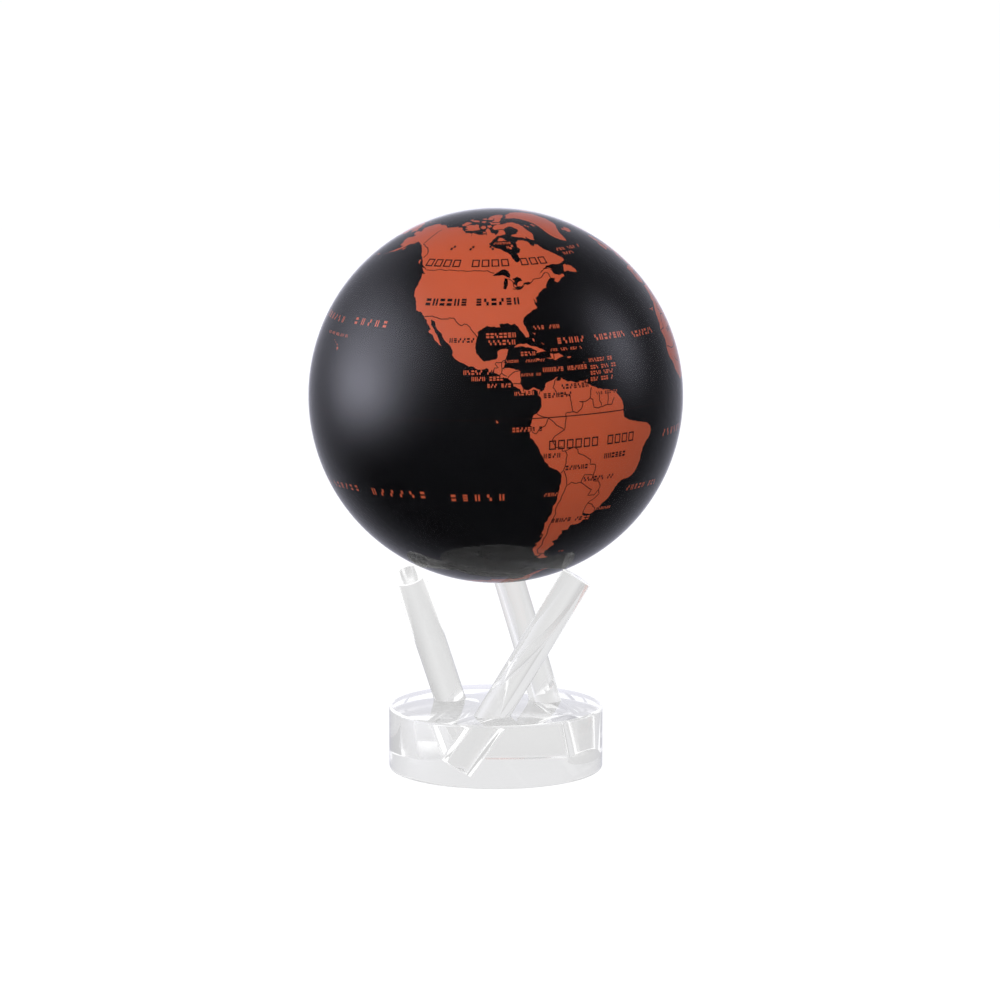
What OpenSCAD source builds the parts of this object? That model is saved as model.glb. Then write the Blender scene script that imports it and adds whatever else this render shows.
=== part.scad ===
// Desktop globe that turns by light. A clear ball holds a printed globe that floats in liquid.
// Inside the globe, coils push against a rotor that a compass magnet holds still. The ball rests
// on three leaning clear rods in a round clear base.
// The origin is the centre of the base's underside, and +Z is up. Sizes are millimetres.

/* [Ball] */
// Outside diameter of the clear ball
ball_d = 114.3; // [112:0.1:118]
// Wall of the clear ball
ball_wall = 2.6; // [2.2:0.1:3]
// Gap between the clear ball and the globe, which the liquid fills
liquid_gap = 2.35; // [2:0.05:3]
// Diameter of the head of the filling plug at the foot of the ball
plug_head_d = 10; // [8:0.5:12]

/* [Stand] */
// Diameter of the base
base_d = 66; // [60:1:80]
// Height of the base
base_h = 19.4; // [18:0.1:24]
// Bevel along the base's two edges
base_bevel = 0.9; // [0.4:0.1:1.5]
// Diameter of the rods
rod_d = 9.6; // [8:0.1:10]
// Length of the rods
rod_len = 67.4; // [64:0.1:75]
// Lean of the rods from upright, in degrees
rod_lean = 31.1; // [26:0.1:33]
// Distance of the rods' axes from the middle of the stand
rod_offset = 17.1; // [16:0.1:18]
// Height at which a rod's axis passes closest to the middle
rod_waist_z = 22.3; // [21:0.1:24]
// Height of the centre of a rod's lower end
rod_foot_z = 4.3; // [4:0.1:6]

/* [Globe] */
// Wall of the globe's two halves
globe_wall = 1.9; // [1.5:0.1:2.2]
// Thickness of the printed skin on the globe
skin_t = 0.3; // [0.2:0.05:0.4]
// Depth of the weight in the globe's foot
ballast_h = 18.75; // [16:0.25:19]
// Number of solar cells
cell_count = 6; // [4:1:6]

/* [Drive] */
// Length of the compass magnet
magnet_len = 56; // [40:1:58]
// Number of drive coils
coil_count = 3; // [2:1:3]
// Number of drive magnets
drive_magnet_count = 4; // [2:2:6]

/* [Hidden] */
$fn = 96;
eps = 0.01;

// Clearances: between bodies that turn past each other, between bonded pieces, and in pivots
turn_gap = 0.3;
bond_gap = 0.05;
slip_gap = 0.02;
rest_gap = 0.03;

// Clear ball
ball_r = ball_d / 2;
ball_in_r = ball_r - ball_wall;
seam_r = (ball_r + ball_in_r) / 2;
seam_lip = 1.5;
plug_head_r = plug_head_d / 2;
plug_stem_r = plug_head_r - 1.5;
plug_head_t = ball_wall / 2;

// Stand
base_r = base_d / 2;
rod_r = rod_d / 2;
rod_bevel = 0.35;
socket_gap = 0.05;
rod_turn = 120;
rod_up = [sin(rod_lean), 0, cos(rod_lean)];
rod_foot = [0, -rod_offset, rod_waist_z] + rod_up * (rod_foot_z - rod_waist_z) / cos(rod_lean);
rod_tip = rod_foot + rod_up * rod_len;

// Height at which the ball rests: the rim of each rod's upper end touches it
function tip_rim_distance(z) =
    let (
        reach = [0, 0, z] - rod_tip,
        along = reach * rod_up + rod_bevel,
        across = norm(cross(reach, rod_up)) - rod_r
    ) norm([along, across]);
function rest_height(low, high, steps = 40) =
    let (mid = (low + high) / 2)
    steps == 0 ? mid
    : tip_rim_distance(mid) < ball_r + rest_gap ? rest_height(mid, high, steps - 1)
    : rest_height(low, mid, steps - 1);
ball_z = rest_height(rod_tip.z + ball_r / 2, rod_tip.z + 2 * ball_r);

// Globe, measured from its own centre
globe_r = ball_in_r - liquid_gap;
half_r = globe_r - skin_t - bond_gap;
half_in_r = half_r - globe_wall;
ring_r = half_in_r - 0.1;
ring_h = 5;
ring_in_r = ring_r - 3.8;
ledge_r = ring_in_r - 4;
deck_t = 2;
deck_r = ring_in_r - 0.1;
deck_z = -deck_t;
deck_hole_r = 5;
deck_screw_at = (ring_in_r + ledge_r) / 2;
deck_screw_r = 0.95;

// Solar cells
board_r = ledge_r - 1;
board_in_r = 17;
board_t = 1.6;
cell_size = 20;
cell_t = 0.8;
cell_at = 18.5;

// Ballast and the pillars that hang it from the deck
ballast_r = half_in_r - 0.2;
ballast_top = -ballast_r + ballast_h;
pillar_at = 33;
pillar_r = 2.5;
pillar_screw_r = 1;
pillar_count = 3;
stud_r = 1.5;
stud_len = 4;

// Rotor, from the top down
pivot_r = 0.4;
pivot_len = 1.3;
shaft_r = 1;
shaft_top = 8.8;
jewel_r = 1.5;
jewel_t = 1.4;
post_r = 3;
post_top = ballast_top + 4;
shaft_foot = post_top + 0.2;
commutator_z = 2;
commutator_h = 4;
commutator_r = 2.6;
commutator_hub_r = 1.8;
coil_r = 7;
coil_in_r = 2.2;
coil_t = 2.6;
coil_at = 14;
drive_gap = 1;
drive_magnet_r = 5;
drive_magnet_t = 2.4;
drive_magnet_at = 14;
yoke_r = 20;
yoke_t = 1.5;
yoke_z = deck_z - coil_t - drive_gap - drive_magnet_t - yoke_t;
magnet_w = 9;
magnet_h = 8;
magnet_z = -24;
carrier_r = 5;
carrier_t = 3;

// Bearing bridge
bridge_z = 9;
bridge_t = 2;
bridge_hub_r = 4;
bridge_hub_h = 3;
bridge_leg_at = 14.5;
bridge_leg_r = 1.8;
bridge_screw_r = 0.9;

// Brushes and leads
brush_r = 0.2;
brush_x = commutator_r + brush_r + bond_gap;
brush_z = 4;
brush_tip_y = -3;
block_y = 9;
block_size = [9, 4, 6];
lead_r = 0.35;
lead_x = 2.2;
lead_bend = 1;
lead_y = board_in_r + 0.8;

// Colours
clear_colour = [0.93, 0.95, 0.97, 0.35];
liquid_colour = [0.85, 0.9, 0.95, 0.3];
print_black = [0.03, 0.03, 0.035];
brass_colour = [0.78, 0.62, 0.3];
steel_colour = [0.7, 0.71, 0.73];
magnet_colour = [0.5, 0.51, 0.53];
copper_colour = [0.72, 0.4, 0.25];
dark_plastic = [0.12, 0.12, 0.13];

// ---- helpers ----

module at_ball_centre() {
    translate([0, 0, ball_z]) children();
}

// Copies of a piece around the vertical axis
module around(count, radius = 0, start = 0) {
    for (i = [0:count - 1]) {
        rotate(start + i * 360 / count) translate([radius, 0, 0]) children();
    }
}

// Everything above or below the middle plane
module upper_space() {
    translate([-ball_d, -ball_d, 0]) cube([2 * ball_d, 2 * ball_d, ball_d]);
}

module lower_space() {
    translate([-ball_d, -ball_d, -ball_d]) cube([2 * ball_d, 2 * ball_d, ball_d]);
}

// A hollow ball between two radii
module hollow_ball(outer, inner) {
    difference() {
        sphere(outer);
        sphere(inner);
    }
}

// A tube between two heights
module tube(outer, inner, low, high) {
    translate([0, 0, low]) difference() {
        cylinder(h = high - low, r = outer);
        translate([0, 0, -eps]) cylinder(h = high - low + 2 * eps, r = inner);
    }
}

// A round bar between two heights
module bar(radius, low, high) {
    translate([0, 0, low]) cylinder(h = high - low, r = radius);
}

// A round piece with both edges bevelled
module bevelled_disc(radius, height, bevel) {
    rotate_extrude() polygon([
        [0, 0], [radius - bevel, 0], [radius, bevel],
        [radius, height - bevel], [radius - bevel, height], [0, height]
    ]);
}

// A small screw that hangs from its head, whose underside is at height 0
module screw(shank_r, shank_len, head_r, head_h) {
    difference() {
        union() {
            bar(head_r, 0, head_h);
            bar(shank_r, -shank_len, eps);
        }
        translate([-head_r, -0.2, head_h - 0.5]) cube([2 * head_r, 0.4, 1]);
    }
}

// ---- stand ----

// A place on the stand's rod number i, along the rod from its foot
module on_rod(i) {
    rotate(i * rod_turn) translate(rod_foot) rotate([0, rod_lean, 0]) children();
}

// Solid clear disc with three blind leaning sockets
module base_puck() {
    color(clear_colour) difference() {
        bevelled_disc(base_r, base_h, base_bevel);
        for (i = [0:2]) {
            on_rod(i) translate([0, 0, -socket_gap]) cylinder(h = rod_len, r = rod_r + socket_gap);
        }
    }
}

// One clear rod, cut square with a small bevel at each end
module stand_rod(i) {
    color(clear_colour) on_rod(i) bevelled_disc(rod_r, rod_len, rod_bevel);
}

// ---- clear ball ----

// The lip of the upper half, which sits inside the lower half's rim
module seam_band(gap) {
    intersection() {
        hollow_ball(seam_r + gap, ball_in_r - gap);
        translate([0, 0, -seam_lip - gap]) cylinder(h = seam_lip + gap + eps, r = ball_d);
    }
}

module clear_ball_upper() {
    color(clear_colour) at_ball_centre() union() {
        intersection() {
            hollow_ball(ball_r, ball_in_r);
            upper_space();
        }
        seam_band(0);
    }
}

// The filling hole is stepped, so that the plug's head has a shoulder to seal on
module fill_hole(gap) {
    bar(plug_head_r + gap, -ball_r - 1, -ball_r + plug_head_t + gap);
    bar(plug_stem_r + gap, -ball_r - 1, -ball_in_r + 1);
}

module clear_ball_lower() {
    color(clear_colour) at_ball_centre() difference() {
        intersection() {
            hollow_ball(ball_r, ball_in_r);
            lower_space();
        }
        seam_band(slip_gap);
        fill_hole(slip_gap);
    }
}

// Clear plug, flush with the ball outside and inside
module fill_plug() {
    color(clear_colour) at_ball_centre() intersection() {
        hollow_ball(ball_r, ball_in_r);
        fill_hole(0);
    }
}

// ---- liquid ----

// The two liquids that carry the globe, the lighter one on top
module liquid() {
    hollow_ball(ball_in_r - turn_gap, globe_r + turn_gap);
}

module upper_liquid() {
    color(liquid_colour) at_ball_centre() intersection() {
        liquid();
        upper_space();
    }
}

module lower_liquid() {
    color(liquid_colour) at_ball_centre() intersection() {
        liquid();
        lower_space();
    }
}

// ---- globe ----

// Printed skin bonded over both halves
module map_skin() {
    color(print_black) at_ball_centre() hollow_ball(globe_r, globe_r - skin_t);
}

module globe_half_north() {
    color("ivory") at_ball_centre() intersection() {
        hollow_ball(half_r, half_in_r);
        upper_space();
    }
}

module globe_half_south() {
    color("ivory") at_ball_centre() intersection() {
        hollow_ball(half_r, half_in_r);
        lower_space();
    }
}

// Ring that joins the halves from inside, with a ledge for the deck
module equator_ring() {
    color(dark_plastic) at_ball_centre() difference() {
        intersection() {
            sphere(ring_r);
            bar(ball_r, -ring_h, ring_h);
        }
        bar(ring_in_r, deck_z, ring_h + 1);
        bar(ledge_r, -ring_h - 1, ring_h + 1);
        around(3, deck_screw_at) bar(deck_screw_r + slip_gap, -ring_h + 0.6, 1);
    }
}

// Round plate that carries the drive, with holes for its screws and a window for the shaft
module deck_plate() {
    color(dark_plastic) at_ball_centre() difference() {
        bar(deck_r, deck_z, 0);
        bar(deck_hole_r, deck_z - 1, 1);
        around(3, deck_screw_at) bar(deck_screw_r + 0.15, deck_z - 1, 1);
        around(3, bridge_leg_at, 60) bar(bridge_screw_r + 0.1, deck_z - 1, 1);
        around(pillar_count, pillar_at, 30) {
            bar(pillar_screw_r + 0.1, deck_z - 1, 1);
            bar(pillar_screw_r + 1.3, -1.1, 1);
        }
    }
}

module deck_screws() {
    color(steel_colour) at_ball_centre() around(3, deck_screw_at) screw(deck_screw_r, 4.2, 1.9, 1.2);
}

// Board ring that the solar cells are soldered to
module cell_board() {
    color("darkgreen") at_ball_centre() tube(board_r, board_in_r, 0, board_t);
}

module solar_cells() {
    color([0.08, 0.1, 0.22]) at_ball_centre() around(cell_count) {
        translate([cell_at, -cell_size / 2, board_t]) cube([cell_size, cell_size, cell_t]);
    }
}

// Flat wound coils under the deck
module drive_coils() {
    color(copper_colour) at_ball_centre() around(coil_count, coil_at) {
        tube(coil_r, coil_in_r, deck_z - coil_t, deck_z);
    }
}

// Three-legged bridge over the shaft, holding the upper jewel
module bearing_bridge() {
    color(brass_colour) at_ball_centre() difference() {
        union() {
            bar(bridge_hub_r, bridge_z, bridge_z + bridge_hub_h);
            around(3, 0, 60) {
                translate([0, -bridge_leg_r, bridge_z]) cube([bridge_leg_at, 2 * bridge_leg_r, bridge_t]);
                translate([bridge_leg_at, 0, 0]) bar(bridge_leg_r, 0, bridge_z + bridge_t);
            }
        }
        bar(jewel_r + slip_gap, bridge_z + 0.6, bridge_z + bridge_hub_h + 1);
        bar(pivot_r * 2, bridge_z - 1, bridge_z + 1);
        around(3, bridge_leg_at, 60) bar(bridge_screw_r + slip_gap, -1, 5);
    }
}

// Screws from under the deck into the bridge's legs
module bridge_screws() {
    color(steel_colour) at_ball_centre() around(3, bridge_leg_at, 60) {
        translate([0, 0, deck_z]) mirror([0, 0, 1]) screw(bridge_screw_r, 6.5, 1.8, 1.2);
    }
}

module upper_jewel() {
    color("crimson") at_ball_centre() {
        tube(jewel_r, pivot_r + slip_gap, bridge_z + 0.6, bridge_z + 0.6 + jewel_t);
    }
}

// Cup jewel that carries the rotor's weight
module lower_jewel() {
    color("crimson") at_ball_centre() difference() {
        bar(jewel_r, post_top - jewel_t, post_top);
        bar(pivot_r + slip_gap, post_top - pivot_len + 0.2, post_top + 1);
    }
}

// Post on the ballast that holds the lower jewel, with a stud below
module jewel_post() {
    color(brass_colour) at_ball_centre() difference() {
        union() {
            bar(post_r, ballast_top, post_top);
            bar(stud_r, ballast_top - stud_len, ballast_top + eps);
        }
        bar(jewel_r + slip_gap, post_top - jewel_t, post_top + 1);
    }
}

// Pillars between the deck and the ballast, each with a stud below and a screw hole above
module frame_pillars() {
    color(brass_colour) at_ball_centre() around(pillar_count, pillar_at, 30) difference() {
        union() {
            bar(pillar_r, ballast_top, deck_z);
            bar(stud_r, ballast_top - stud_len, ballast_top + eps);
        }
        bar(pillar_screw_r + slip_gap, deck_z - 6, deck_z + 1);
    }
}

// Screws sunk in the deck, under the cell board
module pillar_screws() {
    color(steel_colour) at_ball_centre() around(pillar_count, pillar_at, 30) {
        translate([0, 0, -1.1]) screw(pillar_screw_r, 6, 2.1, 1);
    }
}

module stud_hole() {
    bar(stud_r + slip_gap, ballast_top - stud_len - 0.2, ballast_top + 1);
}

// Heavy cap in the globe's foot, which keeps it upright and at the liquid's own density
module ballast_weight() {
    color(brass_colour) at_ball_centre() difference() {
        intersection() {
            sphere(ballast_r);
            bar(ball_r, -ball_r, ballast_top);
        }
        stud_hole();
        around(pillar_count, pillar_at, 30) stud_hole();
    }
}

// Block that holds the two brush wires beside the commutator
module brush_block() {
    color(dark_plastic) at_ball_centre() difference() {
        translate([-block_size.x / 2, block_y, 0]) cube(block_size);
        for (side = [-1, 1]) {
            translate([side * brush_x, block_y - 1, brush_z]) rotate([-90, 0, 0]) {
                cylinder(h = block_size.y, r = brush_r + slip_gap);
            }
            translate([side * lead_x, block_y + 3, board_t + 2]) rotate([-90, 0, 0]) {
                cylinder(h = 2, r = lead_r + slip_gap);
            }
        }
    }
}

module brush_wires() {
    color(copper_colour) at_ball_centre() for (side = [-1, 1]) {
        translate([side * brush_x, brush_tip_y, brush_z]) rotate([-90, 0, 0]) {
            cylinder(h = block_y - 1 + block_size.y - brush_tip_y, r = brush_r);
        }
    }
}

// Leads that rise from the cell board, bend over and enter the brush block
module lead_wires() {
    color("firebrick") at_ball_centre() for (side = [-1, 1]) translate([side * lead_x, lead_y, board_t]) {
        cylinder(h = 2 - lead_bend, r = lead_r);
        translate([0, -lead_bend, 2 - lead_bend]) rotate([90, 0, 90]) rotate_extrude(angle = 90) {
            translate([lead_bend, 0]) circle(r = lead_r, $fn = 24);
        }
        translate([0, -lead_bend, 2]) rotate([90, 0, 0]) {
            cylinder(h = lead_y - lead_bend - block_y - 3.1, r = lead_r);
        }
    }
}

// ---- rotor, which the compass magnet keeps pointing north ----

module rotor_shaft() {
    color(steel_colour) at_ball_centre() {
        bar(shaft_r, shaft_foot, shaft_top);
        bar(pivot_r, shaft_top - eps, shaft_top + pivot_len + 0.8);
        bar(pivot_r, shaft_foot - pivot_len + 0.02, shaft_foot + eps);
    }
}

module compass_magnet() {
    color(magnet_colour) at_ball_centre() difference() {
        translate([-magnet_len / 2, -magnet_w / 2, magnet_z]) cube([magnet_len, magnet_w, magnet_h]);
        bar(shaft_r + 0.5, magnet_z - 1, magnet_z + magnet_h + 1);
    }
}

// Disc and side cheeks that hold the compass magnet to the shaft
module magnet_carrier() {
    top = magnet_z + magnet_h + carrier_t;
    color(brass_colour) at_ball_centre() difference() {
        union() {
            bar(carrier_r, magnet_z + magnet_h, top);
            for (side = [-1, 1]) {
                translate([-carrier_r, side > 0 ? magnet_w / 2 : -magnet_w / 2 - 1, magnet_z + 2]) {
                    cube([2 * carrier_r, 1, top - magnet_z - 2]);
                }
            }
        }
        bar(shaft_r + slip_gap, magnet_z - 1, top + 1);
    }
}

// Iron disc with a hub, which closes the drive magnets' field
module magnet_yoke() {
    color(steel_colour) at_ball_centre() difference() {
        union() {
            bar(yoke_r, yoke_z, yoke_z + yoke_t);
            bar(3, yoke_z - 2.5, yoke_z + eps);
        }
        bar(shaft_r + slip_gap, yoke_z - 5, yoke_z + 5);
    }
}

module drive_magnets() {
    color(magnet_colour) at_ball_centre() around(drive_magnet_count, drive_magnet_at, 45) {
        bar(drive_magnet_r, yoke_z + yoke_t, yoke_z + yoke_t + drive_magnet_t);
    }
}

module commutator_hub() {
    color(dark_plastic) at_ball_centre() {
        tube(commutator_hub_r, shaft_r + slip_gap, commutator_z, commutator_z + commutator_h);
    }
}

// Copper segments round the hub, with a gap between neighbours
module commutator_segments() {
    slot_w = 0.4;
    color(copper_colour) at_ball_centre() difference() {
        tube(commutator_r, commutator_hub_r + slip_gap, commutator_z, commutator_z + commutator_h);
        around(drive_magnet_count) {
            translate([0, -slot_w / 2, commutator_z - 1]) cube([ball_r / 4, slot_w, commutator_h + 2]);
        }
    }
}

// ---- nodes ----

base_puck();
stand_rod(0);  // stand_rod_front
stand_rod(1);  // stand_rod_right
stand_rod(2);  // stand_rod_left
clear_ball_upper();
clear_ball_lower();
fill_plug();
upper_liquid();
lower_liquid();
map_skin();
globe_half_north();
globe_half_south();
equator_ring();
deck_plate();
deck_screws();
cell_board();
solar_cells();
drive_coils();
bearing_bridge();
bridge_screws();
upper_jewel();
lower_jewel();
jewel_post();
frame_pillars();
pillar_screws();
ballast_weight();
brush_block();
brush_wires();
lead_wires();
rotor_shaft();
compass_magnet();
magnet_carrier();
magnet_yoke();
drive_magnets();
commutator_hub();
commutator_segments();
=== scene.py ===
"""Looks of the desktop globe: a printed globe that floats in a clear ball, on three leaning clear
rods in a round clear base. Lengths are in metres and the map's places are in degrees."""

import math
import random

import bmesh
import bpy
import numpy as np
from mathutils import Matrix, Vector
from mathutils.geometry import delaunay_2d_cdt


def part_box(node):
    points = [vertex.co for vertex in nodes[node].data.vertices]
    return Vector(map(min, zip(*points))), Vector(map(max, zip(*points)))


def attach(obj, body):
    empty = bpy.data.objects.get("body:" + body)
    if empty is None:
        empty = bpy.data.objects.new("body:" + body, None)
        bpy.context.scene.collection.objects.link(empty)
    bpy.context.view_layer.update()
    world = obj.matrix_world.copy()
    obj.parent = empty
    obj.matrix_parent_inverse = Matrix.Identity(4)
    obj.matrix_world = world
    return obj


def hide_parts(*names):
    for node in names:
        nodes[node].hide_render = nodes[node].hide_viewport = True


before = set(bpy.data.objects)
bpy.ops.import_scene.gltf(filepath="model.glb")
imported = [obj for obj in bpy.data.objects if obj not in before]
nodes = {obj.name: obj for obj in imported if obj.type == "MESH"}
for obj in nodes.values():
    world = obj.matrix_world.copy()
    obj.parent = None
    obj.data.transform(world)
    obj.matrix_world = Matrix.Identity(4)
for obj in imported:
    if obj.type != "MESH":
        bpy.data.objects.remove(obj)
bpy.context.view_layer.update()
MM = 0.001

# ---------------------------------------------------------------- places, from the frame

skin_low, skin_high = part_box("map_skin")
BALL_CENTRE = (skin_low + skin_high) / 2
PRINT_R = (skin_high.z - skin_low.z) / 2
BALL_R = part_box("clear_ball_upper")[1].z - BALL_CENTRE.z
BALL_WALL = 2.6 * MM
PLUG_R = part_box("fill_plug")[1].x
BASE_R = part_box("base_puck")[1].x
BASE_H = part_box("base_puck")[1].z
ROD_R = 4.8 * MM
ROD_GAP = 0.05 * MM
ROD_NODES = ("stand_rod_front", "stand_rod_right", "stand_rod_left")

# ---------------------------------------------------------------- camera

CAMERA_AZIMUTH = math.radians(-2.05)
CAMERA_ELEVATION = math.radians(7.89)
CAMERA_DISTANCE = 1.0
CAMERA_TARGET = Vector((1.3, 0, 83.2)) * MM
CAMERA_LENS = 117.4


def place_camera():
    camera = bpy.data.objects.new("camera", bpy.data.cameras.new("camera"))
    bpy.context.scene.collection.objects.link(camera)
    level = math.cos(CAMERA_ELEVATION)
    direction = Vector((
        math.sin(CAMERA_AZIMUTH) * level,
        -math.cos(CAMERA_AZIMUTH) * level,
        math.sin(CAMERA_ELEVATION),
    ))
    camera.location = CAMERA_TARGET + direction * CAMERA_DISTANCE
    camera.rotation_euler = direction.to_track_quat("Z", "Y").to_euler()
    camera.data.lens = CAMERA_LENS
    bpy.context.scene.camera = camera


place_camera()

# ---------------------------------------------------------------- the world's shores

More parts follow.
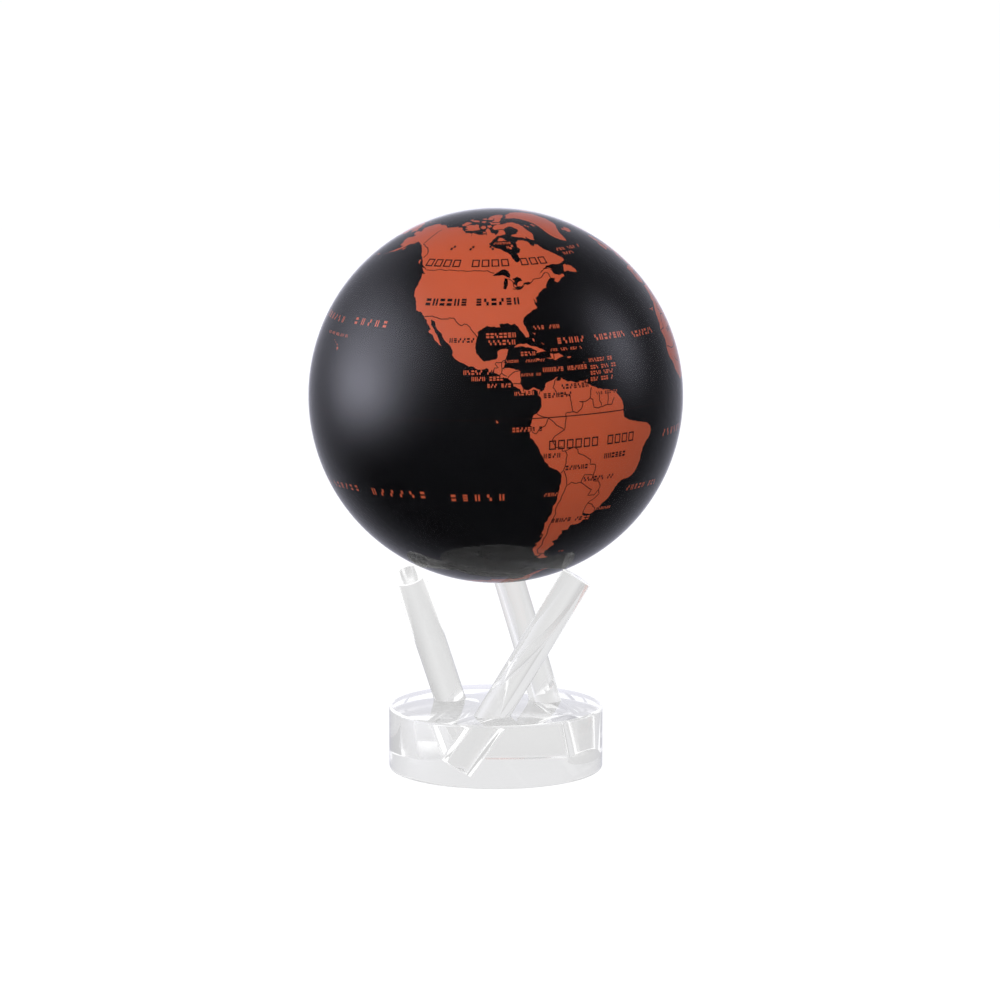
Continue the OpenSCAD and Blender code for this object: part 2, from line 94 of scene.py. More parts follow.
# Coastlines, as longitude and latitude in degrees, in order round each shore. East of the date line,
# longitudes run on past 180, so that every outline stays in one piece.
COASTS = {
    "americas": """
        -168 65.6, -166.4 66.3, -163.6 66.6, -161.8 66.2, -162.4 67, -164.2 67.5, -166.8 68.3,
        -166.1 68.9, -163.3 70.7, -162 71.6, -159.5 72.2, -156.6 72.7, -153 72.3, -148 72.6, -141 71.9,
        -137.5 71.2, -135.4 71.6, -132 71.9, -129 72.2, -127.8 72.7, -125.5 71.8, -124.3 72.2, -121 72,
        -116.5 69.9, -114 69.3, -115 68.8, -110.5 68.9, -108.2 68.4, -107.4 66.5, -107 69, -105.8 68.6,
        -102 67.8, -98.6 67.8, -96.2 68.2, -95.4 67.5, -95.2 68.8, -96.4 70.2, -95.8 71.4, -94.5 72,
        -92.9 71.2, -91.8 70, -92.2 69.5, -90.5 68.6, -88.5 68.4, -88 67.4, -86 68.4, -84.5 70.6,
        -80.5 70.6, -79.4 69, -80 67.6, -83 67.2, -86.5 66.8, -88.6 65.6, -91 64, -93 62.8, -91.8 61.4,
        -90 60.6, -88 60, -85 59, -82 57.6, -80.6 56.4, -80 54.6, -78.6 53, -76.8 53.6, -76.6 55.4,
        -77.2 57, -75.2 57.6, -74 59, -75.4 60.4, -75 62.4, -72.6 63.8, -69.4 63.6, -66.6 62.6,
        -65.8 60.6, -64.4 60, -63 61, -61 60.6, -60.2 59.2, -58.4 57.6, -56.6 56.4, -54.2 55, -52 53.4,
        -52.4 52, -54 51.6, -56.6 50.9, -60.2 51.2, -63.8 50.8, -66 49.8, -68 48.6, -69.8 47.4,
        -68 48.2, -65.6 49.4, -63 49.2, -62.4 48, -61.8 46.9, -60 46.4, -58 46.9, -57.4 46, -59.6 45.2,
        -62.6 43.7, -63.6 44.4, -62.8 45.4, -64.4 45.6, -67.4 44, -68.6 42.6, -68.4 42, -70 41.8,
        -71 41.2, -72.4 40.4, -73.2 39.2, -74.4 38.6, -74.2 37.6, -74.6 36.8, -75.4 38.4, -75.2 36.4,
        -74.6 35.2, -75.8 34.6, -77.4 33.8, -78.6 33.2, -80.4 32, -80.9 30.7, -80.3 29.1, -79.4 26.9,
        -79.5 25.4, -80.6 25.4, -81.2 26.6, -82.3 28, -82.7 28.9, -84 30.1, -85.3 29.7, -86.4 30.4,
        -89.4 30.2, -89.2 29.1, -91.3 29.4, -93.8 29.7, -95.2 29, -97.2 27.6, -97.2 25.9, -97.8 24,
        -97.7 22, -96.3 19.4, -94.8 18.2, -92.6 18.6, -91 18.8, -90.4 21.3, -88.6 22, -86.9 21.8,
        -87.6 19.6, -88.2 18.4, -88.3 17, -88.9 15.9, -86.2 15.8, -83.3 15, -83.5 12.8, -83.7 11,
        -82.4 9.1, -81 8.8, -79.6 9.6, -77.4 8.7, -76.9 8.1, -75.7 9.5, -75.4 10.7, -74 11.3,
        -72.6 11.7, -71.4 12.4, -71.9 11.2, -70.4 11.3, -70 12.1, -69.6 11.5, -68.2 10.7, -66 10.4,
        -64.8 10.1, -63.8 10.6, -61.9 10.7, -62.4 9.9, -60.9 9.4, -59.8 8.6, -57.6 7.6, -55.6 7.1,
        -53 6.8, -50.6 5.8, -48.9 3.8, -48.1 1.8, -48.1 -0.3, -47.6 -2.4, -46.4 -3, -44.6 -3.5,
        -43.4 -4, -41.6 -4.4, -39.8 -4.7, -37.8 -5.1, -36.2 -5.7, -34.8 -6.6, -34.3 -8, -34.8 -9.6,
        -36.4 -11.2, -37.6 -13, -38 -15, -38.2 -18, -38.8 -20, -40 -21.8, -42 -22.8, -44.2 -23, -46 -24,
        -47.2 -25.4, -48.2 -27.9, -49.6 -30.1, -51.2 -31.9, -52.8 -33.5, -55 -34.9, -57 -34.5,
        -58.4 -34, -58.4 -34.8, -57.2 -35.6, -56.8 -36.6, -57.8 -38.2, -62 -38.9, -62.3 -40.6, -65 -41,
        -64.4 -42.4, -65.2 -43.4, -65.4 -45, -67.5 -46.2, -65.8 -47.6, -67.6 -49.4, -69 -51,
        -68.6 -52.3, -70.8 -52.8, -71.2 -53.8, -73.6 -52.8, -75 -51, -75.6 -48.6, -74.4 -47,
        -75.6 -46.6, -73.6 -45, -72.8 -42.4, -73.8 -41.6, -73.4 -39, -73.6 -37.2, -72.6 -35.8,
        -71.6 -33, -71.6 -30, -70.6 -26, -70.4 -22.6, -70.1 -19.4, -71.4 -17.6, -74.6 -16, -76.3 -14,
        -77.2 -12, -78.6 -9, -79.8 -7.2, -81.2 -6, -81.3 -4.4, -79.8 -2.8, -81 -2.2, -80.4 -0.4,
        -80 0.8, -78.8 1.5, -77.2 3.6, -77.4 6.4, -78.2 7.6, -78.2 8.4, -79.5 9, -80.4 8.2, -80.2 7.4,
        -81.2 7.6, -82.9 8.2, -83.6 8.6, -83.8 9.3, -85 10, -85.8 10.2, -85.9 11.1, -87.4 12.8,
        -89.6 13.5, -92.3 14.5, -94.2 16.2, -96.5 15.7, -99.8 16.7, -102.2 17.9, -104.6 19.2,
        -105.6 20.4, -105.4 21.4, -106.6 23.4, -109.2 25.8, -110.8 27.8, -112.6 29.6, -113.2 31.2,
        -114.8 31.8, -114.4 30, -112.6 28, -111.2 26, -110.4 24.4, -109.5 23.2, -110.4 23.6, -112.2 25,
        -113.2 26.7, -115 27.8, -114.2 28.6, -115.8 30.2, -117.8 32.6, -119.6 34.3, -121.8 34.8,
        -122.8 36.8, -123.7 38.4, -125 39.8, -125.6 41.4, -125.6 43.4, -125.3 46.4, -126.2 48.4,
        -124.6 48.4, -125.4 50.2, -127.6 51.4, -129.8 53, -132 54.8, -133.6 56.2, -136 57.8,
        -138.4 59.2, -141.2 60.6, -145 61.4, -147.6 62, -149.4 60.8, -152.4 60, -150.4 62, -152.6 60.4,
        -154.2 58.8, -156.6 57.2, -160 55.6, -164.4 54.6, -161.4 55.8, -157.8 57.6, -157.2 58.7,
        -161.8 58.7, -162 59.9, -165.2 61.2, -165 62.6, -161 63.6, -161 64.6, -166 64.6""",
    "baffin": """
        -89.8 71.6, -88.6 73.4, -84 74.4, -80 74.4, -76 74.8, -71 75.4, -64 75.2, -59.4 73.6,
        -58.4 71.6, -58.8 69.6, -58 67.8, -57.6 66.2, -59.6 64.6, -60.6 63, -63.2 63.6, -65.2 65.4,
        -66 64.2, -68.6 65.2, -72 65.6, -76 66.6, -74 67.2, -70.6 67.4, -67.6 69, -67 70.4, -69.4 72,
        -73 72.6, -77 71.8, -79.6 70.8, -83 71, -88.6 70.8""",
    "victoria_island": """
        -117.2 71.5, -113.6 70.9, -116.4 70.5, -113.4 70.2, -108.8 70.2, -105.2 70.6, -101.8 71.2,
        -103.4 72.2, -105.4 74.4, -108.8 74.8, -109.8 74.2, -113.6 74.3, -118 73.8, -118.4 72.8,
        -115.4 72.6, -117.6 72.1""",
    "banks_island": "-125.8 74.2, -123 73.2, -119.4 73.6, -117 75, -115.6 75.6, -119.4 76.2, -124 76.3",
    "ellesmere": """
        -90.4 76.4, -88.8 77.2, -85.8 77.6, -87.4 78.4, -85 79.4, -88 80.4, -91.6 81.8, -84 82.6,
        -72 83.1, -62.4 82.4, -65.6 81.4, -69.6 80.4, -74.8 79.4, -76.4 78.4, -78.6 77.2, -80.6 76.2""",
    "axel_heiberg": "-95.6 78.6, -94.4 80.2, -92.4 81.2, -88.4 80.2, -86.4 79.8, -88.6 78.3, -92 78.3",
    "devon": "-96.4 76.8, -92 76.6, -89 75.6, -80 75.7, -80.8 74.6, -91.6 74.7, -93 76.2",
    "melville_island": "-117.6 77.1, -112 76.6, -106.2 76.5, -108.4 77.7, -115.4 78.1",
    "bathurst_island": "-104 76.6, -100.4 76, -98 76.2, -98 77.4, -102.6 77.4",
    "prince_patrick": "-122.6 77.7, -117.4 77.1, -119.6 78.7, -122 78.4",
    "ringnes": "-105.4 79.4, -100.4 78.6, -96.4 79, -99.6 79.9",
    "somerset": "-95.6 73.4, -93.2 72.1, -90.4 73, -91.2 74, -95.2 74",
    "prince_of_wales": "-102.4 72.6, -99.4 71.4, -96.6 72, -97.6 73.8, -101 73.8",
    "king_william": "-98.8 69.8, -98.6 68.7, -95.8 68.7, -96.4 69.5",
    "southampton": "-87 63.8, -83 64, -80.4 63.7, -83.8 65.6, -85.6 65.8, -86.4 64.8",
    "newfoundland": """
        -56.4 47.6, -55.4 49, -54.4 50.4, -53.2 50.6, -52.8 50, -50.4 49.6, -49.4 48, -49.8 46.8,
        -52.4 47.2, -54 47.8""",
    "vancouver_island": "-128.3 50.8, -126.2 49.4, -123.6 48.4, -125 49.8, -127 50.8",
    "haida_gwaii": "-133 54.1, -132 52.6, -131.2 52.3, -131.8 54",
    "southeast_alaska": "-135.8 58, -134.6 58.2, -133 56.6, -132.6 55.4, -134.8 56.4",
    "kodiak": "-154.6 57.4, -153.2 57.1, -152.2 58.3, -153.4 58.2",
    "aleutians_east": "-167.4 53.4, -164.2 54.4, -165.8 54.2",
    "aleutians_west": "182 51.7, 188 52.9, 185 52.2",
    "anticosti": "-64.4 49.8, -61.8 49.1, -63 49.2",
    "long_island": "-74 40.6, -72 41, -73 40.6",
    "cuba": """
        -84.9 22.4, -83 23.4, -80.6 23.5, -77.6 22.3, -75.6 21.5, -74.2 20.6, -77.6 20.2, -77.2 20.9,
        -78.4 21.5, -79.8 22.1, -81.8 22.6, -83.2 22.6""",
    "hispaniola": """
        -74.4 18.4, -72.6 18.5, -72.8 19.9, -70 19.8, -68.4 18.6, -70.2 18.2, -71.4 17.6, -72.2 18.2""",
    "puerto_rico": "-67.2 18.4, -65.7 18.4, -66 18, -67.1 18",
    "jamaica": "-78.3 18.4, -77 18.5, -76.2 18, -77.2 17.8",
    "andros": "-78.3 25, -77.8 24.8, -77.7 23.8, -78.2 24.2",
    "abaco": "-78.2 26.8, -77 26.7, -77.2 25.9, -77.6 26.5",
    "great_inagua": "-75.4 23.6, -74.4 22.8, -74.8 22.8",
    "guadeloupe": "-61.8 16.3, -61.2 16.2, -61.6 15.9",
    "martinique": "-61.2 14.8, -60.8 14.5, -61.1 14.4",
    "trinidad": "-61.6 10.7, -60.9 10.8, -61 10.1, -61.8 10.1",
    "hawaii": "-156 20.2, -155 19.8, -155.6 19, -156 19.5",
    "maui": "-156.9 21.1, -156 20.8, -156.6 20.5",
    "oahu": "-158.3 21.6, -157.7 21.4, -158.1 21.2",
    "kauai": "-159.8 22.2, -159.3 22.1, -159.6 21.8",
    "galapagos": "-91.6 .1, -90.8 -.8, -91.4 -1",
    "tierra_del_fuego": """
        -68.4 -52.7, -68 -53.6, -65.2 -54.7, -67 -55.2, -70 -55.2, -72 -54.5, -70.4 -53.8, -69.8 -52.8""",
    "wellington": "-74.6 -48.4, -75.4 -49.6, -74.6 -50.4, -74.4 -49.4",
    "chiloe": "-74 -42, -73.4 -43.2, -74.2 -43.2",
    "falkland_west": "-61 -51.6, -60 -51.5, -60.4 -52.2",
    "falkland_east": "-59.4 -51.5, -57.8 -51.6, -59 -52.3",
    "greenland": """
        -68 79, -62 80.4, -60 81.6, -52 82.4, -42 82.8, -30 83.3, -18 82.6, -8 81, -4 79, -3 77,
        -8 75.2, -10 73.2, -14 71.6, -16 70.2, -20 68.6, -25 67.6, -29 66.2, -33 64.4, -34.8 62.4,
        -37.2 60.2, -40 61.2, -42.8 62.6, -44 64.6, -44.4 66.4, -43.6 68.4, -42.6 70.4, -42 72.6,
        -44.4 75, -47.6 77, -53 78.4, -61 78.6""",
    "iceland": """
        -24.2 65.5, -22.4 66.4, -20.6 65.6, -18 66.1, -16 66.5, -13.8 65, -16.4 63.8, -19.6 63.5,
        -22.6 63.9, -22 64.8""",
    "eurasia": """
        190 66, 187 65.2, 186.4 64.4, 182.4 65.6, 180.6 64.8, 177.4 64.6, 179.4 62.6, 174.6 61.8,
        170.4 60, 166.2 60, 163.6 59.8, 163 57.8, 162.4 56.2, 160 53.2, 156.8 51.2, 155.6 54.4,
        156.4 57.4, 160 60.4, 163.8 62.4, 160 61.6, 156.8 61.4, 154.4 59.6, 150 59.6, 142.4 59.2,
        136.8 55, 140.4 53.6, 141.2 51.8, 140.4 48.6, 136 44.4, 132 43.2, 129.8 41.6, 127.6 39.6,
        129.4 37, 129.2 35.4, 126.6 34.6, 126.4 36.8, 125 38, 124.4 39.9, 121.4 39, 122 40.6,
        119 39.2, 117.8 38.6, 119 37.4, 122.4 37.2, 119.4 35, 121.6 32.4, 121.8 30.8, 121.8 28.4,
        119.4 25.6, 116.8 23.2, 113.8 22.3, 110.6 21, 108.4 21.6, 106 19.8, 106.4 17.6, 108.8 15.4,
        109.2 12.2, 106.8 10.4, 104.8 8.8, 104.8 10.4, 102.6 12, 100.8 13.4, 99.8 11.6, 99.4 9.4,
        101.6 6.6, 103.4 4.4, 104 1.4, 101.4 2.8, 100.2 6, 98.4 8.2, 98.4 12, 97.6 16.4, 95.4 15.8,
        94.4 18.6, 92.2 21.2, 91.4 22.8, 89 21.8, 86.8 21.2, 85.2 19.6, 82.2 16.6, 80.2 15.4,
        80.2 12.8, 79.8 10.3, 78.2 8.6, 77.4 8.1, 76.2 10, 74.6 13.6, 73.2 17, 72.8 20.6, 72.2 21.2,
        70.4 20.9, 69 22.4, 67.2 24.8, 64 25.3, 61.4 25.1, 57.4 25.8, 56.4 27, 54.6 26.6, 51.6 27.8,
        50 30, 48 29.9, 48.6 28, 50.2 26.6, 51 24.8, 51.5 25.8, 51.6 24.2, 54 24.1, 56.2 26.2,
        56.6 24.4, 59.8 22.4, 57.8 20, 57.6 18.8, 55 17, 52.2 15.6, 48.6 14, 45 12.8, 43.4 12.7,
        42.8 15.4, 42.4 17, 40.2 19.6, 39 21.6, 37.2 24.6, 35.2 28, 34.8 29.4, 34.2 27.9, 32.6 29.9,
        34.4 31.4, 35.6 34, 36 36.6, 33.6 36.1, 30.6 36.6, 27.6 36.7, 26.4 38.6, 26.2 40, 29.4 40.7,
        29 41.2, 31.4 41.2, 35 42, 38 41, 41.4 41.4, 39.4 43.8, 37 45, 39 47.2, 35.4 46.4, 36.4 45.3,
        33.6 44.5, 32.6 46, 30.8 46.4, 28.6 44, 28 42, 29 41.3, 26.2 40.8, 23.8 40.6, 22.8 40.4,
        23 39, 24 37.8, 22.6 36.6, 21.4 37.6, 21 38.8, 19.4 41.2, 16 43.6, 13.8 45, 12.4 45.4,
        12.4 44.2, 14 42.4, 16 41.8, 18.4 40.2, 16.8 40.4, 16.6 38.8, 15.8 38, 15.8 39.8, 12.4 41.6,
        10.4 43.2, 8.8 44.4, 6.4 43.2, 3.2 43.2, 3 41.8, .2 40.4, -.2 38.6, -2.2 36.8, -5.6 36.1,
        -6.6 37, -8.8 37.1, -9.4 38.8, -8.8 41.2, -9.2 43.1, -5.6 43.6, -1.6 43.4, -1.2 46, -4.6 48.2,
        -1.6 48.7, .2 49.6, 2.2 51, 4.8 53, 8.4 53.8, 8.2 57, 10.6 57.6, 10.2 55.2, 11 54, 14.2 54,
        18.6 54.7, 21.2 55.4, 21.8 57.4, 24.4 57.3, 23.6 59.2, 28 59.6, 29.6 60.2, 23 60, 21.4 61.2,
        25.2 65, 22.2 65.8, 17.4 62, 18.8 60.2, 16.4 57.4, 14.2 55.5, 12.8 55.6, 11 59, 8 58.2,
        5.4 59, 5.2 62, 10 64, 13.4 67, 18 69.6, 25.6 71, 31 70.2, 33 69.4, 41 67.6, 40.4 66.4,
        34.4 66.6, 34.8 64.6, 38.4 64, 40.4 64.8, 44 66.2, 44 68.4, 48.6 67.8, 53.6 68.8, 60 68.6,
        66.8 69.4, 67 71.8, 69 73, 73 71.6, 72.6 68.6, 77.4 72.4, 81 72.6, 80.4 73.6, 87 75, 98 76.2,
        104 77.7, 113 76, 113.4 73.6, 123 73, 129 71.4, 132 71.6, 139.6 72.4, 140 73, 152 71,
        161 69.6, 170.6 69.4, 176.4 69.4, 182 68.4""",
    "great_britain": """
        -5.2 50, -3.2 51.4, -5.2 51.8, -4.4 53.2, -3 53.8, -5 55, -6.2 56.6, -5 58.6, -3 58.6,
        -2 57.4, -3 56, -1.6 55, .2 53.4, 1.7 52.6, 1 51.3, -1.4 50.7, -3.6 50.3""",
    "ireland": "-10.2 51.8, -9.8 54.2, -7.4 55.3, -5.6 54.6, -6.2 52.2, -8.4 51.6",
    "zealand": "11 55.6, 12.5 56, 12.4 54.9, 11.2 54.8",
    "corsica_sardinia": "9.4 43, 9.6 41, 9.6 39.2, 8.4 39, 8.2 40.8, 8.6 42.4",
    "sicily": "12.6 38, 15.6 38.2, 15.1 36.7",
    "crete": "23.6 35.5, 26.2 35.3, 24.8 34.9",
    "cyprus": "32.4 35, 34.5 35.6, 33.6 34.8",
    "svalbard": "11 79.4, 14 77, 17 76.7, 21 78.3, 27 80, 19 80.3",
    "novaya_zemlya": "51.6 71.6, 55 70.7, 57.4 71.6, 56 73.4, 62 75.4, 68.8 76.7, 60 76.2, 54 74.2",
    "severnaya_zemlya": "95 79.2, 100 78.2, 105 79, 99 80.4, 93 80.6",
    "new_siberian": "137 75.4, 144 75, 150 75.2, 142 76",
    "wrangel": "178.8 71, 182.4 71, 180.6 71.5",
    "sakhalin": "142 46, 143.4 47, 142.8 49, 144.4 49.2, 143.2 51.6, 143 54.3, 142 53.2, 142 49.6",
    "hokkaido": "140 41.5, 141.2 42.4, 143.2 42, 145.4 43.2, 141.8 45.4, 141.4 43.4",
    "honshu": """
        130.9 34, 132.6 35.4, 136 35.7, 137 37.2, 139.4 38.2, 140 40.6, 141.4 41.3, 142 39.6,
        140.9 36, 139 34.9, 137 34.6, 135.8 33.5, 133.6 34.4""",
    "shikoku": "132.2 33.6, 134.6 34.2, 133 32.8",
    "kyushu": "129.8 33.2, 131 33.9, 131.6 32.4, 130.8 31.1, 130.2 31.6",
    "taiwan": "120.2 23, 121 25.1, 121.9 25, 120.9 22",
    "hainan": "108.8 19.2, 110.6 20.1, 110.4 18.6, 109.2 18.3",
    "luzon": "120.2 16, 120.8 18.5, 122.2 18.5, 121.6 16, 124 13, 121 13.8",
    "samar": "124.4 12.4, 125.4 12.2, 125.6 10.2, 124.6 10.8",
    "mindanao": "122 7, 123.6 8.6, 125.4 9.8, 126.4 7.4, 125.4 5.7, 124 6.6",
    "palawan": "117.4 8.6, 119.6 11.2, 119.2 10.2",
    "borneo": """
        109 1.6, 111.4 2.6, 114 4.6, 116.8 7, 119.2 5.2, 117.6 2.4, 118.8 1, 117.4 -.8, 116 -3.8,
        114 -3.4, 110.4 -2.8, 109.2 -.2""",
    "sumatra": """
        95.3 5.6, 98 4.4, 100.6 2.2, 103.8 -.6, 106 -3, 105.8 -5.8, 104.2 -5.4, 101 -2.6, 98.8 1.6,
        96.6 3.4""",
    "java": "105.2 -6.8, 106.8 -6, 110.8 -6.6, 112.8 -6.9, 114.4 -8.6, 110 -8, 106.6 -7.4",
    "bali_sumbawa": "114.6 -8.2, 118.4 -8.3, 122.8 -8.3, 119 -8.8",
    "timor": "123.6 -10.2, 125.2 -8.8, 127.2 -8.4, 125.4 -9.6",
    "sulawesi": """
        119.4 -5.4, 119 -2.8, 120 .8, 123 .9, 125 1.5, 124.2 .4, 120.4 .4, 121 -1, 123.2 -.8,
        121.8 -2, 122.6 -4.6, 121.6 -4.6, 120.8 -2.8, 120.4 -5.4""",
    "halmahera": "127.6 1, 128 2.2, 128.6 1.2, 128 -.6",
    "new_guinea": """
        131 -.8, 133.8 -.8, 135 -3.3, 138 -1.7, 144.6 -4, 147.6 -6, 147.2 -7, 150.6 -10.4,
        146.8 -9, 143.2 -9.2, 141 -9.2, 138 -8.4, 138 -5.6, 133 -4, 132.2 -2.8, 133.8 -2.4""",
    "new_britain": "148.4 -5.6, 151.6 -5.4, 152.2 -4.2, 152 -5.6, 150 -6.3",
    "solomons": "155.6 -6.4, 160.8 -9.6, 157 -8",
    "new_caledonia": "164 -20.2, 167 -22.3, 165 -21.2",
    "fiji": "177.4 -17.6, 178.6 -17.6, 178 -18.2",
    "sri_lanka": "79.8 8.4, 80.4 9.7, 81.8 7.4, 80.6 6",
    "australia": """
        114.2 -22, 117 -20.6, 121 -19.5, 122.2 -17.4, 124.6 -16.2, 126.8 -14, 129.6 -14.9,
        131 -12.2, 135.6 -12.1, 136 -14.8, 139.4 -17.4, 141.4 -16, 141.8 -12.4, 142.6 -10.8,
        143.8 -14.2, 145.4 -15, 146.2 -18.8, 149.4 -21.4, 151.4 -24, 153.2 -26, 153.4 -29, 152.4 -32.2,
        150.2 -36, 149.8 -37.6, 146.4 -38.8, 143.6 -38.8, 140.4 -38, 138.4 -35.6, 138 -33.4,
        136 -34.8, 134.2 -33, 131.2 -31.6, 126 -32.2, 123.6 -33.8, 120 -34, 117.8 -35, 115.2 -34.3,
        115.8 -31.6, 113.6 -26.4, 113.8 -23.6""",
    "tasmania": "144.8 -40.8, 148.2 -40.9, 147.8 -43.2, 146 -43.5",
    "new_zealand_north": """
        172.8 -34.5, 175.4 -36.6, 178.4 -37.7, 177 -39.4, 175.2 -41.6, 173.9 -39.3, 174.8 -37""",
    "new_zealand_south": """
        172.8 -40.5, 174.2 -41.6, 172.8 -43.8, 170.8 -45.9, 168.6 -46.6, 166.6 -46, 168.4 -44,
        171.2 -42.4""",
    "africa": """
        -6 35.8, -2 35.2, 3 36.9, 10 37.3, 11 36.8, 10.2 34.2, 15.2 32.3, 20 31, 20 32.8, 25 31.7,
        29 30.9, 32.4 31.2, 32.6 29.8, 35.6 24, 37.2 21, 37.4 18.8, 39.6 15.2, 43.2 12.4, 43.4 11.4,
        48 11.2, 51.2 11.9, 50.8 9.4, 47.8 4.2, 44 1, 41 -2, 39.2 -4.8, 39 -7.4, 40.6 -10.6,
        40.6 -15, 36.4 -18.4, 34.8 -20.4, 35.4 -23.8, 32.8 -26, 32.4 -28.4, 30.4 -31, 27.4 -33.4,
        22 -34.1, 20 -34.8, 18.4 -34, 17.4 -29.6, 15.2 -26.8, 14.4 -22.4, 11.8 -17.4, 13.6 -12.4,
        13 -8.8, 12.2 -5.6, 9.2 -2, 9.6 2.4, 9 4.4, 7 4.4, 5 5.8, 1.8 6.3, -2 4.8, -5 5.2, -7.6 4.4,
        -9.4 5.6, -12.4 7.4, -14 9.8, -16.6 12.4, -17.4 14.8, -16.2 19, -17 21.2, -15 24.6, -13 27.7,
        -9.8 29.8, -9.6 31.4, -7 33.8""",
    "madagascar": """
        49.4 -12.2, 50.4 -15.8, 49.4 -18.4, 47.2 -25, 44.4 -25, 43.4 -22.2, 44.4 -19.4, 44.4 -16.4,
        47 -15""",
    "canaries": "-18 28.8, -16 28.5, -14 29, -15.6 27.8",
    "antarctica": """
        -168.9 -78.4, -158 -77.4, -150 -77.2, -146 -75.6, -136 -74.6, -126 -74.4, -114 -74, -102 -74,
        -101 -72.4, -90 -73, -80 -73, -74 -73.4, -70 -72, -67.6 -68.8, -65 -66.2, -61 -64.2, -57 -63.3,
        -60.6 -65.4, -62 -68, -61 -72, -60.6 -74.4, -70 -77, -76 -79, -62 -81.8, -42 -80.6, -36 -78.6,
        -28 -76.4, -18 -73, -10 -71.2, 0 -70, 12 -70, 26 -70.4, 36 -69.4, 40 -69, 50 -67, 56 -66.2,
        68 -67.8, 72 -69.6, 80 -68, 88 -66.6, 100 -66, 112 -66, 124 -66.8, 136 -66.2, 146 -67.2,
        156 -69.2, 166 -70.6, 171 -72, 165 -75.6, 166 -77.6, 178 -78.4, 191.1 -78.4, 191.1 -90,
        -168.9 -90""",
}

# Inland waters
LAKES = {
    "superior": """
        -91.4 47.9, -89.2 49.1, -87.3 50, -85.4 50.3, -83.7 49.4, -83.2 47.6, -83.6 46.6, -84.9 47.1,
        -87 48, -89.4 47.8""",
    "michigan": "-85.9 46.8, -84.6 46.4, -84.8 44.6, -85.3 43.4, -86 42.3, -87 42.7, -86.6 44.9",
    "huron": """
        -82.6 46.2, -80.1 47, -78.8 46.4, -78.2 45.5, -80.3 44.8, -81 43.2, -82.3 44.3, -81.6 45.4""",
    "erie": "-82.4 42.8, -79.3 43.2, -77.2 43.8, -79 42.4, -81.2 41.9",
    "ontario": "-78.2 44.2, -76 44.8, -74.4 44.4, -76.4 43.6",
    "caspian": """
        47 44.8, 51 47, 53 45.4, 50.6 44.6, 53 41, 54 37.4, 50.4 37.2, 49 38.6, 49.4 40.4, 47.6 43""",
    "aral": "58.4 45.4, 61 46.6, 59.6 44",
    "baikal": "104 51.6, 108.6 53.4, 109.8 55.6, 107.4 53.4",
    "ladoga": "30.6 60.2, 32.6 60.8, 31 61.6",
    "victoria": "31.8 -.6, 34.2 -.2, 33.4 -2.4, 31.8 -2.4",
    "tanganyika": "29.2 -3.6, 29.8 -6, 31.2 -8.7, 30.4 -7.6, 29.3 -5.6",
    "malawi": "34 -9.6, 34.8 -12, 35.2 -14.4, 34.3 -12",
}

